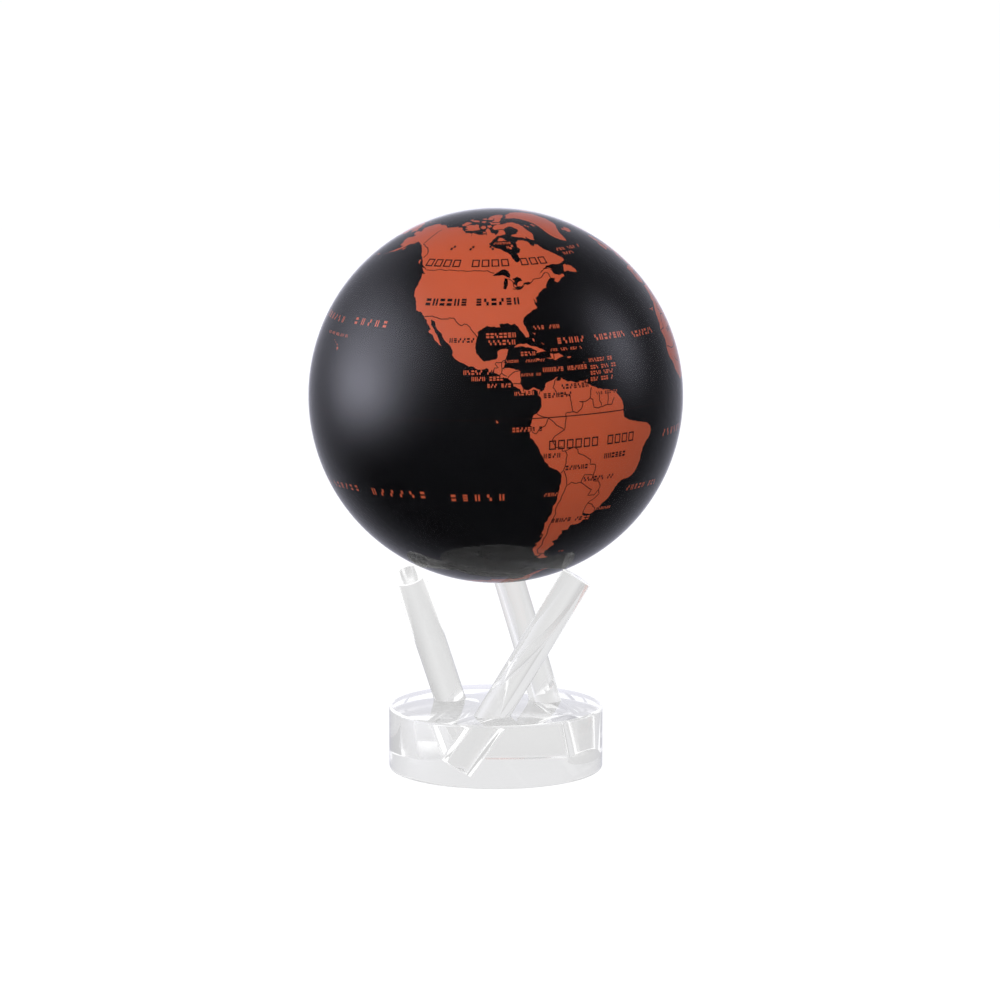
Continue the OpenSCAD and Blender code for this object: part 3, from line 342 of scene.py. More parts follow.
# Frontiers, each an open line
FRONTIERS = [
    "-141 69.6, -141 61.2, -138.6 60.8, -136.6 60, -134.6 59.8, -132.6 58.6, -130.8 57, -131.4 55",
    "-125 50, -110 50.2, -93.8 50, -92.6 49.4, -90.4 48.8",
    "-84.4 46.4, -83.4 45.9, -82.5 45.2, -82.4 43",
    "-83.1 42.4, -81.6 42.2, -79 42.9, -78.4 43.6, -77.4 44.1, -74.6 44.4, -73.2 45.6, -69.4 46, -67.4 47.4,"
    "-66 48, -65 47.6, -64.9 46.6, -64.6 45.6",
    "-117.8 32.6, -114.7 33, -111 32, -108.2 32, -108 32.5, -106.2 32.4, -104.2 30.4, -103 29.8,"
    "-102 30.4, -101 30.2, -99 28, -97.2 25.9",
    "-92.3 14.5, -91.6 16.1, -90.4 16.1, -91.4 17.3, -91 17.8, -89.2 17.8, -88.3 18.5",
    "-89.2 17.8, -89.2 15.9, -88.4 15.7",
    "-89.2 15.9, -89.4 14.4, -90.1 13.8",
    "-89.4 14.4, -87.8 13.4",
    "-87.4 13, -86.6 13.8, -85 14.8, -83.2 15",
    "-85.8 11.1, -84.6 11, -83.7 10.9",
    "-82.9 8.2, -82.7 9.6",
    "-77.9 7.3, -77.3 8.6",
    "-71.7 19.8, -71.8 18",
    "-71.4 12, -72.4 11.2, -73.2 9.2, -72.4 8, -72 7.1, -70 7, -67.6 6.2, -67.4 3.4, -67 1.2",
    "-67 1.2, -69.4 1, -69.4 -.6, -70 -4.2, -72.8 -2.4, -75.2 -.1, -77.6 .6, -78.8 1.4",
    "-75.2 -.1, -76.4 -2.6, -78.2 -3.4, -79.2 -4.9, -80.4 -4.2, -80.2 -3.4",
    "-67 1.2, -65.6 .8, -64 2, -63.4 3.8, -64.6 4.2, -62.6 4, -60.8 5, -60.4 7, -60 8.2",
    "-60.8 5, -59.8 4.4, -59.6 2, -58 1.6, -56.5 1.9, -57.4 4, -57.2 6",
    "-56.5 1.9, -54.4 2.3, -54 4, -54 5.8",
    "-54.4 2.3, -52.8 2.2, -51.6 4.2",
    "-70 -4.2, -73.2 -6, -74 -7.4, -72.8 -9.6, -70.6 -9.6, -70.6 -11, -69.6 -11",
    "-69.6 -11, -68.8 -12.4, -69 -15, -69.6 -17.4, -70.4 -18.3",
    "-69.6 -11, -66.6 -9.9, -65.2 -10.8, -65 -12, -62.2 -13.4, -60.2 -14.6, -60.2 -16.2, -58.2 -16.4,"
    "-57.8 -18.4, -58.2 -20.1",
    "-58.2 -20.1, -61.6 -19.6, -62.6 -22.2, -64.4 -22.4, -66.2 -21.8, -67.8 -22.8, -68.4 -20, -69.4 -17.6",
    "-67.8 -22.8, -68.4 -25, -69.4 -28.4, -70.4 -31, -70 -33.4, -71 -37, -71.6 -40, -72 -44,"
    "-71.8 -47, -73.4 -50, -72.2 -52, -68.6 -52.2",
    "-62.6 -22.2, -59 -24.6, -57.7 -25.2, -58.6 -27.3, -55.8 -27.4, -54.6 -25.6",
    "-58.2 -20.1, -57.8 -22.1, -55.6 -22.4, -54.4 -24, -54.6 -25.6",
    "-54.6 -25.6, -53.8 -27.2, -57.6 -30.2, -58.2 -32.4, -58.4 -34",
    "-57.6 -30.2, -55.6 -30.9, -53.4 -32.8, -53.4 -33.8",
    "-1.8 43.4, 3.1 42.5",
    "-8.8 41.9, -6.4 41.6, -7.2 38.6, -7.4 37.2",
    "2.4 51, 6 49.6, 8.2 49, 7.6 47.6, 6.2 46.2, 7.6 43.8",
    "7.6 47.6, 13 47.6, 15 49, 12.2 50.3, 14.6 51, 14.4 53.9",
    "13 47.6, 16.4 46.6, 20 46.2, 22.8 48, 24 50.6, 23.6 53.8, 20 54.4",
    "20 46.2, 22.6 44.4, 28.6 43.8",
    "16.4 46.6, 13.7 45.6",
    "22.6 44.4, 22.4 41.2, 26.4 41.8",
    "24 50.6, 31 51.8, 32 53, 28 56, 28 59.4",
    "31 51.8, 35 50.4, 40 49.4, 38.2 47.2",
    "28.6 60.6, 31.4 62.8, 29.4 66.8, 29 69.2",
    "12 59, 12.2 63.4, 16 67.6, 20.4 69, 24 66",
    "47 44.8, 48.8 46.6, 47 49.6, 54 51, 61.4 51, 61 54, 70 55.2, 77 53.6, 80 51, 87.4 49.2",
    "87.4 49.2, 98 50.4, 106 50.2, 116.6 49.8, 120 52.8, 126 52.4, 131 47.8, 134.6 48.4, 131 43",
    "87.4 49.2, 91 45.2, 97 42.8, 105 41.6, 112 43.6, 116.6 46.6, 119.8 46.8, 116.6 49.8",
    "87.4 49.2, 80.4 45.4, 80.2 42.2, 74 39.6, 75 37, 78.6 34.6, 79 31, 88 27.9, 97.4 28.2, 98 24,"
    "101.6 21.4, 107.8 21.5",
    "54 37.4, 61.2 36.4, 60.8 30, 61.8 25.2",
    "61.2 36.4, 66.6 37.4, 71.4 37, 75 37, 70 33.2, 66.4 30, 60.8 30",
    "75 37, 74 33, 74.4 31, 70 28, 68.2 23.8",
    "44.8 39.8, 48.6 38.4",
    "44.8 39.8, 44.4 37, 46 33.4, 48.4 30",
    "36 36.2, 42.4 37.2, 44.4 37",
    "42.4 37.2, 39 33, 35.8 33.2",
    "39 33, 47 29.2, 48.2 29.6",
    "43.2 17, 52 19, 55 22.6, 51.6 24.2",
    "52 19, 53 16.6",
    "-8.7 27.7, -1.8 32, -1.8 35",
    "-8.7 27.7, 3.2 19.2, 12 23.4, 9.2 30.2, 11.4 33.2",
    "12 23.4, 15 23, 24 19.6, 25 22, 25 31.6",
    "25 22, 36.8 22",
    "-16.8 21.4, -13 21.4, -12 23.4, -8.7 25.8, -8.7 27.7",
    "-8.7 25.8, -5 25, -5.4 15.4, -12 14.8, -16.4 16",
    "3.2 19.2, 4 15, -2 14.4, -5.4 11, -8 10.2, -11.6 12.2",
    "-5.4 11, -3 9.8, -3.2 5.2",
    "4 13.6, 13.6 13.6, 15 23",
    "3.6 11.6, 2.8 6.4",
    "13.6 13.6, 14.6 8, 9 4.8",
    "14.6 8, 22.8 11, 24 19.6",
    "22.8 11, 27.4 5, 34.4 4.6, 36 8, 34 11, 36.6 14.4, 37.4 18",
    "27.4 5, 18.6 4.4, 16 2, 13.2 2.2, 9.8 2.2",
    "16 2, 14.4 -2, 12.6 -5",
    "18.6 4.4, 16.4 -4, 12.4 -6, 17 -8, 22 -7.4, 24 -11, 24 -13, 22 -13, 21.6 -18, 12 -17.2",
    "30.8 4, 30 -1.4, 29.2 -4.4, 30.8 -8.4, 28.6 -12.6, 24 -11",
    "30 -1.4, 34 -1, 37.6 -3, 39.2 -4.6",
    "34.4 4.6, 41.8 3.8, 41 -1.8",
    "41.8 3.8, 48 8, 43 11.4",
    "30.8 -8.4, 34 -9.6, 34.6 -11.4, 40.4 -10.6",
    "24 -13, 25.2 -17.8, 30.4 -15.8, 33 -14, 30.4 -15.8, 32.8 -19, 31.2 -22.4, 25.8 -24.6, 20 -26.8,"
    "20 -22, 21 -18.4",
    "31.2 -22.4, 32 -25.8",
    "20 -26.8, 20 -28.4, 16.4 -28.6",
    "98 24, 98.6 16.4, 99 10",
    "101.6 21.4, 105 17, 107.4 14.4, 106.4 10.6",
    "107.4 14.4, 102.6 13.6, 102.8 12",
    "100.2 20.2, 101.4 17.6, 105 17",
    "88.2 26.4, 92 25, 92.4 21",
    "124.4 40, 130.6 42.4",
    "126.4 37.8, 128.4 38.6",
    "141 -2.6, 141 -9.1",
    "109.6 1.8, 115 2.4, 117.8 4.2",
    "129 -15, 129 -31.6",
    "138 -16.6, 138 -26, 141 -26, 141 -38",
    "129 -26, 138 -26",
    "141 -29, 149 -29, 153.4 -28.2",
    "141 -34, 146 -36, 150 -37.4",
]

# Rows of printed marks where a real globe carries names: from longitude, to longitude, latitude,
# height, pitch as a share of the height, and whether the marks are hollow.
CAPTIONS = [
    (-117.5, -68, 60.4, 2.2, 2.6, False), (-127, -61.5, 53.2, 3.2, 0.95, True),
    (-118.6, -80.3, 37.9, 2.5, 0.9, False), (-106.8, -97.8, 25, 1.5, 0.9, False),
    (-70.3, -60.6, 9.2, 1.5, 0.9, False), (-76.4, -66.8, 6.8, 1.5, 0.9, False),
    (-75, -42.5, -8.8, 3, 0.95, True), (-76.7, -70.7, -12.2, 1.5, 0.9, False),
    (-55, -45.8, -14, 1.7, 0.9, False), (-69, -60.6, -16.7, 1.5, 0.9, False),
    (-61.8, -49.3, -21.2, 1.5, 0.9, False), (-71, -54, -36.2, 1.6, 0.9, False),
    (-94.2, -83.6, 26.4, 1.6, 0.9, False), (-93.4, -83.9, 24.1, 1.6, 0.9, False),
    (-178, -156, 28.8, 2, 1.6, False), (-150.2, -130.6, 29.4, 2.2, 1.5, False),
    (-167, -151, 24, 0.9, 0.9, False), (-77.4, -66, 28.4, 1.3, 0.95, False),
    (-69.6, -58.8, 23.6, 1.9, 1.0, False), (-55.2, -40.8, 23.5, 1.9, 1.0, False),
    (-37.6, -24, 22.6, 1.9, 1.0, False), (-82.8, -77.6, 20.2, 1.3, 0.9, False),
    (-72.6, -61, 20.9, 0.9, 0.9, False), (-76, -60.4, 14.8, 1.4, 0.85, False),
    (-101.6, -91.4, 14.8, 1.4, 0.85, False), (-99, -87.6, 12.8, 1.3, 0.85, False),
    (-94, -85.2, 10.6, 1.2, 0.85, False), (-85.6, -79.2, 7.9, 1.2, 0.85, False),
    (-59.5, -50, 16.6, 1.2, 0.85, False), (-59.3, -49, 14.4, 1.2, 0.85, False),
    (-59.6, -50.6, 12.6, 1.2, 0.85, False), (-59.9, -51, 10.7, 1.2, 0.85, False),
    (-86.6, -77, -3.3, 1.4, 0.9, False), (-51.4, -30.8, 57.2, 1.3, 1.0, False),
    (-49, -41, 55.1, 1.2, 0.9, False), (-190, -146, -24.6, 2, 1.5, False),
    (-140.2, -115, -25, 2.4, 1.55, False), (-108, -87, -25.8, 2.4, 1.55, False),
    (-40.4, -20, -26.6, 1.8, 1.1, False), (-75.6, -70.4, -25.7, 1.3, 0.9, False),
    (-52.6, -45.4, -33, 1, 0.9, False), (-88.6, -83.6, 18, 0.9, 0.9, False),
    (-81.4, -74.8, 17.9, 0.9, 0.9, False), (-83.2, -76.6, 13.6, 0.9, 0.9, False),
    (-58.4, -50, 6.2, 0.9, 0.9, False), (-90, -78, 62.6, 1.1, 0.8, False),
    (-82, -77.4, 60.4, 1.2, 1.4, False), (-56, -40, 71.5, 1.6, 1.3, False),
    (4, 38, 14, 3, 0.95, True), (8, 38, 50.5, 3, 0.95, True), (70, 124, 46.5, 3.2, 0.95, True),
    (120, 148, -24.5, 3, 0.95, True), (60, 100, 61, 2.2, 1.6, False),
    (68, 92, -14, 2.4, 1.5, False), (72, 90, -20, 2.4, 1.5, False),
    (-26, -4, -10, 2.2, 1.4, False), (150, 178, 24, 2.2, 1.5, False),
    (-10, 2, 20.5, 1.5, 0.9, False), (-2, 8, 26, 1.5, 0.9, False), (14, 22, 25.5, 1.4, 0.9, False),
    (25.5, 34, 26.6, 1.4, 0.9, False), (26, 36, 8.6, 1.5, 0.9, False), (15, 27, -1.2, 1.6, 0.9, False),
    (14, 21, -11.6, 1.4, 0.9, False), (15, 27, -30, 1.4, 0.9, False), (34.5, 41, .8, 1.2, 0.9, False),
    (-4.5, 3, 46.6, 1.3, 0.9, False), (-7, 0, 40.4, 1.3, 0.9, False), (30, 42, 38.8, 1.4, 0.9, False),
    (41, 54, 23.8, 1.5, 0.9, False), (50, 61, 32.4, 1.4, 0.9, False), (73, 86, 22.4, 1.8, 0.9, False),
    (92, 116, 33.6, 2, 1.4, False), (52, 74, 48.4, 1.6, 0.9, False), (92, 110, 46, 1.5, 0.9, False),
    (134, 146, 33, 1.3, 0.9, False), (104, 122, -2, 1.5, 1.0, False), (60, 120, -78, 2.6, 1.6, False),
    (-120, -60, -79, 2.6, 1.6, False), (160, 176, -38, 1.6, 1.0, False),
]

# ---------------------------------------------------------------- map, drawn on the globe

WEST = -168.9
EAST = WEST + 360
ROW_STEP = 3
COLUMNS_AT_EQUATOR = 120
MAP_TURN = -0.35
LEAN_FORWARD = 1.5
LEAN_LEFT = 1.6


def outline(text):
    """The points of a line, from its pairs of longitude and latitude."""
    return [tuple(map(float, pair.split())) for pair in text.split(",")]


def on_border(a, b):
    """Whether a stretch runs along the edge of the flat map."""
    return abs(a[0] - b[0]) > 300 or a[1] == b[1] == -90 or (a[0] == b[0] and a[0] in (WEST, EAST))


def roughen(points, closed, draw, grain=0.12, shortest=0.7):
    """Breaks each long stretch of a shore into smaller and smaller bays and capes."""
    pairs = list(zip(points, points[1:] + points[:1]))
    if not closed:
        pairs.pop()
    shore = []
    for a, b in pairs:
        shore.append(a)
        squeeze = max(0.1, math.cos(math.radians((a[1] + b[1]) / 2)))
        across, up = (b[0] - a[0]) * squeeze, b[1] - a[1]
        if math.hypot(across, up) > shortest and not on_border(a, b):
            shift = draw.uniform(-grain, grain)
            middle = (
                (a[0] + b[0]) / 2 - shift * up / squeeze,
                (a[1] + b[1]) / 2 + shift * across,
            )
            shore += roughen([a, middle, b], False, draw, grain, shortest)[1:-1]
    if not closed:
        shore.append(points[-1])
    return shore


VIEW_RIGHT = Vector((math.cos(CAMERA_AZIMUTH), math.sin(CAMERA_AZIMUTH), 0))
VIEW_NEAR = Vector((math.sin(CAMERA_AZIMUTH), -math.cos(CAMERA_AZIMUTH), 0))
MAP_LEAN = (
    Matrix.Rotation(math.radians(LEAN_LEFT), 3, VIEW_NEAR)
    @ Matrix.Rotation(math.radians(LEAN_FORWARD), 3, VIEW_RIGHT)
)


def on_globe(longitude, latitude, lift=0.0):
    """A place on the printed skin."""
    turn, rise = math.radians(longitude + MAP_TURN), math.radians(latitude)
    level = math.cos(rise)
    out = Vector((level * math.cos(turn), level * math.sin(turn), math.sin(rise)))
    return BALL_CENTRE + MAP_LEAN @ out * (PRINT_R + lift)


def map_rings():
    """Every land and lake as a ring of points, with whether it is land."""
    draw = random.Random(4)
    return [
        (is_land, roughen(outline(text), True, draw))
        for is_land, group in ((True, COASTS), (False, LAKES))
        for text in group.values()
    ]


def within(ring, places):
    """Which of the places lie inside a ring, by counting the shores north of each."""
    inside = np.zeros(len(places), bool)
    for (x1, y1), (x2, y2) in zip(ring, ring[1:] + ring[:1]):
        if x1 != x2:
            spans = (places[:, 0] < x1) != (places[:, 0] < x2)
            shore = y1 + (y2 - y1) * (places[:, 0] - x1) / (x2 - x1)
            inside ^= spans & (places[:, 1] < shore)
    return inside


def is_on_land(rings, places):
    """Whether each place is on land: 1 where it is, 0 at sea and in lakes."""
    kinds = np.zeros(len(places), np.int32)
    for is_land, ring in rings:
        kinds[within(ring, places)] = is_land
    return kinds


MAP_RINGS = map_rings()


def map_grid():
    """Points all over the flat map, closer together in longitude where the globe is widest."""
    points = []
    for row in range(-90 // ROW_STEP, 90 // ROW_STEP + 1):
        latitude = row * ROW_STEP
        count = max(4, round(COLUMNS_AT_EQUATOR * math.cos(math.radians(latitude))))
        points += [(WEST + 360 * i / count, latitude) for i in range(count)]
        points.append((EAST, latitude))
    return points


def smooth(mesh):
    mesh.polygons.foreach_set("use_smooth", [True] * len(mesh.polygons))


def finished(work, name):
    """The mesh that the work amounts to."""
    mesh = bpy.data.meshes.new(name)
    work.to_mesh(mesh)
    work.free()
    return mesh


def add_piece(name, mesh, body, materials, stands_for=()):
    """A piece on its body, in place of the nodes that it stands for."""
    piece = bpy.data.objects.new(name, mesh)
    bpy.context.scene.collection.objects.link(piece)
    for material in materials:
        mesh.materials.append(material)
    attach(piece, body)
    if stands_for:
        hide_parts(*stands_for)
    return piece


def printed_globe(sea, land):
    """The globe's skin as one closed mesh, whose faces are sea or land."""
    points, shores = map_grid(), []
    for _, ring in MAP_RINGS:
        first = len(points)
        points += ring
        shores += [(first + i, first + (i + 1) % len(ring)) for i in range(len(ring))]
    flat, _, triangles = delaunay_2d_cdt([Vector(p) for p in points], shores, [], 0, 1e-5, False)[:3]
    corners = np.array([[flat[i] for i in triangle] for triangle in triangles])
    mesh = bpy.data.meshes.new("printed_globe")
    mesh.from_pydata([on_globe(*p) for p in flat], [], triangles)
    mesh.polygons.foreach_set("material_index", is_on_land(MAP_RINGS, corners.mean(axis=1)))
    work = bmesh.new()
    work.from_mesh(mesh)
    bmesh.ops.remove_doubles(work, verts=work.verts, dist=1e-6)
    bmesh.ops.dissolve_degenerate(work, edges=work.edges, dist=1e-7)
    bmesh.ops.recalc_face_normals(work, faces=work.faces)
    work.to_mesh(mesh)
    work.free()
    smooth(mesh)
    return add_piece("printed_globe", mesh, "inner_globe", [sea, land], ["map_skin"])


LINE_LIFT = 0.02 * MM
FRONTIER_WIDTH = 0.26
EQUATOR_WIDTH = 0.3


def ribbon(work, points, width, lift):
    """A thin printed line through places on the globe."""
    spots = [on_globe(*p, lift) for p in points]
    half = math.radians(width) * PRINT_R / 2
    rails = []
    for i, spot in enumerate(spots):
        along = spots[min(i + 1, len(spots) - 1)] - spots[max(i - 1, 0)]
        side = (spot - BALL_CENTRE).cross(along).normalized() * half
        rails.append((work.verts.new(spot + side), work.verts.new(spot - side)))
    for (a, b), (c, d) in zip(rails, rails[1:]):
        work.faces.new((b, d, c, a))


def map_lines(ink):
    """Frontiers and the equator."""
    draw = random.Random(9)
    work = bmesh.new()
    for text in FRONTIERS:
        line = roughen(outline(text), False, draw, 0.07, 1.0)
        ribbon(work, line, FRONTIER_WIDTH, LINE_LIFT)
    ribbon(work, [(WEST + 2 * i, 0) for i in range(181)], EQUATOR_WIDTH, LINE_LIFT)
    mesh = finished(work, "map_lines")
    return add_piece("map_lines", mesh, "inner_globe", [ink])


# Printed marks, each a set of blocks (left, bottom, right, top) in a square. None of them is a letter.
MARKS = (
    ((0, 0.72, 0.6, 1), (0, 0.36, 0.6, 0.62), (0, 0, 0.6, 0.26)),
    ((0, 0, 0.22, 1), (0.42, 0, 0.64, 1)),
    ((0, 0.5, 0.3, 1), (0.3, 0, 0.6, 0.5)),
    ((0, 0, 0.3, 0.5), (0.3, 0.5, 0.6, 1)),
    ((0, 0.62, 0.62, 1), (0, 0, 0.62, 0.38)),
)
HOLLOW_MARK = ((0, 0, 0.12, 1), (0.62, 0, 0.74, 1), (0.12, 0.86, 0.62, 1), (0.12, 0, 0.62, 0.14))
MARK_LIFT = 0.05 * MM


def captions(ink, copper):
    """Rows of marks in place of names: dark on land and copper at sea."""
    draw = random.Random(21)
    corners = []
    for west, east, latitude, height, pitch, hollow in CAPTIONS:
        wide = height / math.cos(math.radians(latitude))
        count = round((east - west) / (wide * pitch))
        space = draw.randrange(3, 7)
        for i in range(count):
            if i % (space + 1) == space and count > 7:
                continue
            start = west + (east - west) * i / count
            for left, bottom, right, top in HOLLOW_MARK if hollow else draw.choice(MARKS):
                low, high = (latitude + height * (edge - 0.5) for edge in (bottom, top))
                x1, x2 = start + left * wide, start + right * wide
                corners.append(((x1, low), (x2, low), (x2, high), (x1, high)))
    middles = np.array(corners).mean(axis=1)
    kinds = 1 - is_on_land(MAP_RINGS, middles)
    mesh = bpy.data.meshes.new("captions")
    places = [on_globe(*p, MARK_LIFT) for block in corners for p in block]
    mesh.from_pydata(places, [], [range(i, i + 4) for i in range(0, len(places), 4)])
    mesh.polygons.foreach_set("material_index", kinds)
    return add_piece("captions", mesh, "inner_globe", [ink, copper])


# ---------------------------------------------------------------- turned pieces

def turned(work, profile, segments=192):
    """Faces swept round the vertical axis from (radius, height) points, outwards on the right."""
    rings = []
    for radius, height in profile:
        count = 1 if radius < 1e-9 else segments
        rings.append([
            work.verts.new((
                radius * math.cos(2 * math.pi * i / count),
                radius * math.sin(2 * math.pi * i / count),
                height,
            ))
            for i in range(count)
        ])
    faces = []
    for lower, upper in zip(rings, rings[1:]):
        for i in range(segments):
            corners = [lower[i % len(lower)], lower[(i + 1) % len(lower)],
                       upper[(i + 1) % len(upper)], upper[i % len(upper)]]
            corners = list(dict.fromkeys(corners))
            if len(corners) > 2:
                faces.append(work.faces.new(corners))
    return faces


def arc(centre, radius, start, end, steps):
    """Points of an arc in (radius, height), between two angles above the level, in degrees."""
    angles = [math.radians(start + (end - start) * i / steps) for i in range(steps + 1)]
    return [(centre[0] + radius * math.cos(a), centre[1] + radius * math.sin(a)) for a in angles]


def round_profile(radius, steps=120):
    """A whole ball, from its lowest point to its highest."""
    middle = arc((0, 0), radius, -90, 90, steps)[1:-1]
    return [(0, -radius)] + middle + [(0, radius)]


PLUG_GROOVE = 0.12 * MM


def ball_profile():
    """The clear ball's outside, with a hairline round its filling plug."""
    edge = math.degrees(math.asin(PLUG_R / BALL_R))
    line = math.degrees(PLUG_GROOVE / BALL_R)
    plug = [(0, -BALL_R)] + arc((0, 0), BALL_R, -89, edge - line - 90, 8)
    groove = arc((0, 0), BALL_R - PLUG_GROOVE, edge - 90, edge - 90 + line / 4, 1)
    rest = arc((0, 0), BALL_R, edge + line - 90, 89, 120)
    return plug + groove + rest + [(0, BALL_R)]


def clear_ball(outside, inside):
    """The ball's clear shell. Its inner surface meets liquid and not air."""
    work = bmesh.new()
    turned(work, ball_profile())
    inner = turned(work, round_profile(BALL_R - BALL_WALL))
    bmesh.ops.reverse_faces(work, faces=inner)
    for face in inner:
        face.material_index = 1
    bmesh.ops.translate(work, verts=work.verts, vec=BALL_CENTRE)
    mesh = finished(work, "clear_ball")
    smooth(mesh)
    return add_piece(
        "clear_ball", mesh, "outer_ball", [outside, inside],
        ["clear_ball_upper", "clear_ball_lower", "fill_plug"],
    )


def rod_axis(node):
    """The middle of a rod, its direction upwards and its length."""
    points = [v.co.copy() for v in nodes[node].data.vertices]
    middle = sum(points, Vector()) / len(points)
    direction = max((p - middle for p in points), key=lambda v: v.length).normalized()
    for _ in range(8):
        direction = sum(((p - middle) * (p - middle).dot(direction) for p in points), Vector())
        direction.normalize()
    if direction.z < 0:
        direction.negate()
    length = 2 * max((p - middle).dot(direction) for p in points)
    return middle, direction, length


def softened(radius, low, high, edge, steps=4):
    """The profile of a round bar with softened edges."""
    return (
        [(0, low)]
        + arc((radius - edge, low + edge), edge, -90, 0, steps)
        + arc((radius - edge, high - edge), edge, 0, 90, steps)
        + [(0, high)]
    )


SHARP_FROM = 32
ROD_EDGE = 0.35 * MM
BASE_EDGE = 0.9 * MM
ROD_SIDES = 96
BASE_SIDES = 256


def sharpen(mesh):
    smooth(mesh)
    mesh.set_sharp_from_angle(angle=math.radians(SHARP_FROM))


def lean(work, middle, direction):
    """Moves an upright piece to a rod's middle and direction."""
    place = Matrix.Translation(middle) @ direction.to_track_quat("Z", "Y").to_matrix().to_4x4()
    bmesh.ops.transform(work, matrix=place, verts=work.verts)


def clear_rod(node, name, side, end):
    """A clear rod, sawn square at both ends."""
    middle, direction, length = rod_axis(node)
    work = bmesh.new()
    turned(work, softened(ROD_R, -length / 2, length / 2, ROD_EDGE), ROD_SIDES)
    work.normal_update()
    for face in work.faces:
        face.material_index = int(abs(face.normal.z) > 0.9)
    lean(work, middle, direction)
    mesh = finished(work, name)
    sharpen(mesh)
    return add_piece(name, mesh, "stand", [side, end], [node])


def cut(mesh, cutters):
    """The mesh with each cutter's volume taken out of it."""
    block = bpy.data.objects.new("block", mesh)
    bpy.context.scene.collection.objects.link(block)
    tools = []
    for i, cutter in enumerate(cutters):
        tool = bpy.data.objects.new(f"cutter_{i}", cutter)
        bpy.context.scene.collection.objects.link(tool)
        hole = block.modifiers.new(f"hole_{i}", "BOOLEAN")
        hole.operation = "DIFFERENCE"
        hole.object = tool
        hole.solver = "EXACT"
        tools.append(tool)
    graph = bpy.context.evaluated_depsgraph_get()
    done = bpy.data.meshes.new_from_object(block.evaluated_get(graph))
    for spare in [block] + tools:
        bpy.data.objects.remove(spare)
    return done


def clear_base(material):
    """The round block, with a blind socket for each rod."""
    work = bmesh.new()
    turned(work, softened(BASE_R, 0, BASE_H, BASE_EDGE, 6), BASE_SIDES)
    block = finished(work, "clear_base")
    cutters = []
    for node in ROD_NODES:
        middle, direction, length = rod_axis(node)
        work = bmesh.new()
        foot, top, side = -length / 2 - ROD_GAP, length / 2, ROD_R + ROD_GAP
        turned(work, [(0, foot), (side, foot), (side, top), (0, top)], ROD_SIDES)
        lean(work, middle, direction)
        cutters.append(finished(work, "socket"))
    mesh = cut(block, cutters)
    sharpen(mesh)
    mesh.materials.clear()
    return add_piece("clear_base", mesh, "stand", [material], ["base_puck"])


# ---------------------------------------------------------------- materials

def add(tree, kind, **settings):
    node = tree.nodes.new(kind)
    for key, value in settings.items():
        setattr(node, key, value)
    return node


def feed(tree, socket, value):
    """Gives a socket a value, or links it to another socket."""
    if isinstance(value, bpy.types.NodeSocket):
        tree.links.new(value, socket)
    else:
        socket.default_value = value


def maths(tree, operation, *values):
    """One mathematical step over numbers and sockets."""
    node = add(tree, "ShaderNodeMath", operation=operation)
    for socket, value in zip(node.inputs, values):
        feed(tree, socket, value)
    return node.outputs[0]


def pick(tree, share, first, second):
    """The first value where the share is nought and the second where it is one."""
    choice = add(tree, "ShaderNodeMix", data_type="FLOAT")
    for place, value in ((0, share), (2, first), (3, second)):
        feed(tree, choice.inputs[place], value)
    return choice.outputs[0]


def bounced(tree, kind, often=0.5):
    """1 where a ray has bounced in that way more often than this."""
    path = add(tree, "ShaderNodeLightPath")
    return maths(tree, "GREATER_THAN", path.outputs[f"{kind} Depth"], often)


def mirrored_outside(tree):
    """1 where a ray was mirrored by something that it never went through."""
    never_through = maths(tree, "SUBTRACT", 1, bounced(tree, "Transmission"))
    return maths(tree, "MULTIPLY", bounced(tree, "Glossy"), never_through)


def new_group(name, inputs, outputs):
    """An empty node group with named sockets."""
    group = bpy.data.node_groups.new(name, "ShaderNodeTree")
    for label, value in inputs.items():
        kind = "NodeSocketColor" if isinstance(value, tuple) else "NodeSocketFloat"
        socket = group.interface.new_socket(label, in_out="INPUT", socket_type=kind)
        socket.default_value = value
    for label in outputs:
        kind = "NodeSocketColor" if label == "Colour" else "NodeSocketFloat"
        group.interface.new_socket(label, in_out="OUTPUT", socket_type=kind)
    return group, add(group, "NodeGroupInput").outputs, add(group, "NodeGroupOutput").inputs


def noise(group, scale, detail):
    cloud = add(group, "ShaderNodeTexNoise")
    place = add(group, "ShaderNodeTexCoord")
    group.links.new(place.outputs["Object"], cloud.inputs["Vector"])
    feed(group, cloud.inputs["Scale"], scale)
    cloud.inputs["Detail"].default_value = detail
    return cloud.outputs["Fac"]


def stretch(group, value, low, high, least, most):
    """A value between low and high, brought to between the least and the most."""
    span = add(group, "ShaderNodeMapRange")
    labels = ("Value", "From Min", "From Max", "To Min", "To Max")
    for label, source in zip(labels, (value, low, high, least, most)):
        feed(group, span.inputs[label], source)
    return span.outputs["Result"]


def grain_group():
    """Slow changes of tone and fine grain, for anything opaque."""
    group, given, result = new_group(
        "grain_and_tone",
        {"Colour": (0.5, 0.5, 0.5, 1), "Tone": 0.1, "Scale": 1000.0, "Least Roughness": 0.3,
         "Most Roughness": 0.5},
        ("Colour", "Roughness", "Height"),
    )
    fine, slow = noise(group, given["Scale"], 6), noise(group, 60, 3)
    swing = maths(group, "SUBTRACT", maths(group, "ADD", fine, slow), 1)
    shade = add(group, "ShaderNodeVectorMath", operation="SCALE")
    feed(group, shade.inputs[0], given["Colour"])
    feed(group, shade.inputs["Scale"], maths(group, "MULTIPLY_ADD", swing, given["Tone"], 1))
    feed(group, result["Colour"], shade.outputs[0])
    rough = stretch(group, fine, 0.3, 0.7, given["Least Roughness"], given["Most Roughness"])
    feed(group, result["Roughness"], rough)
    feed(group, result["Height"], fine)
    return group


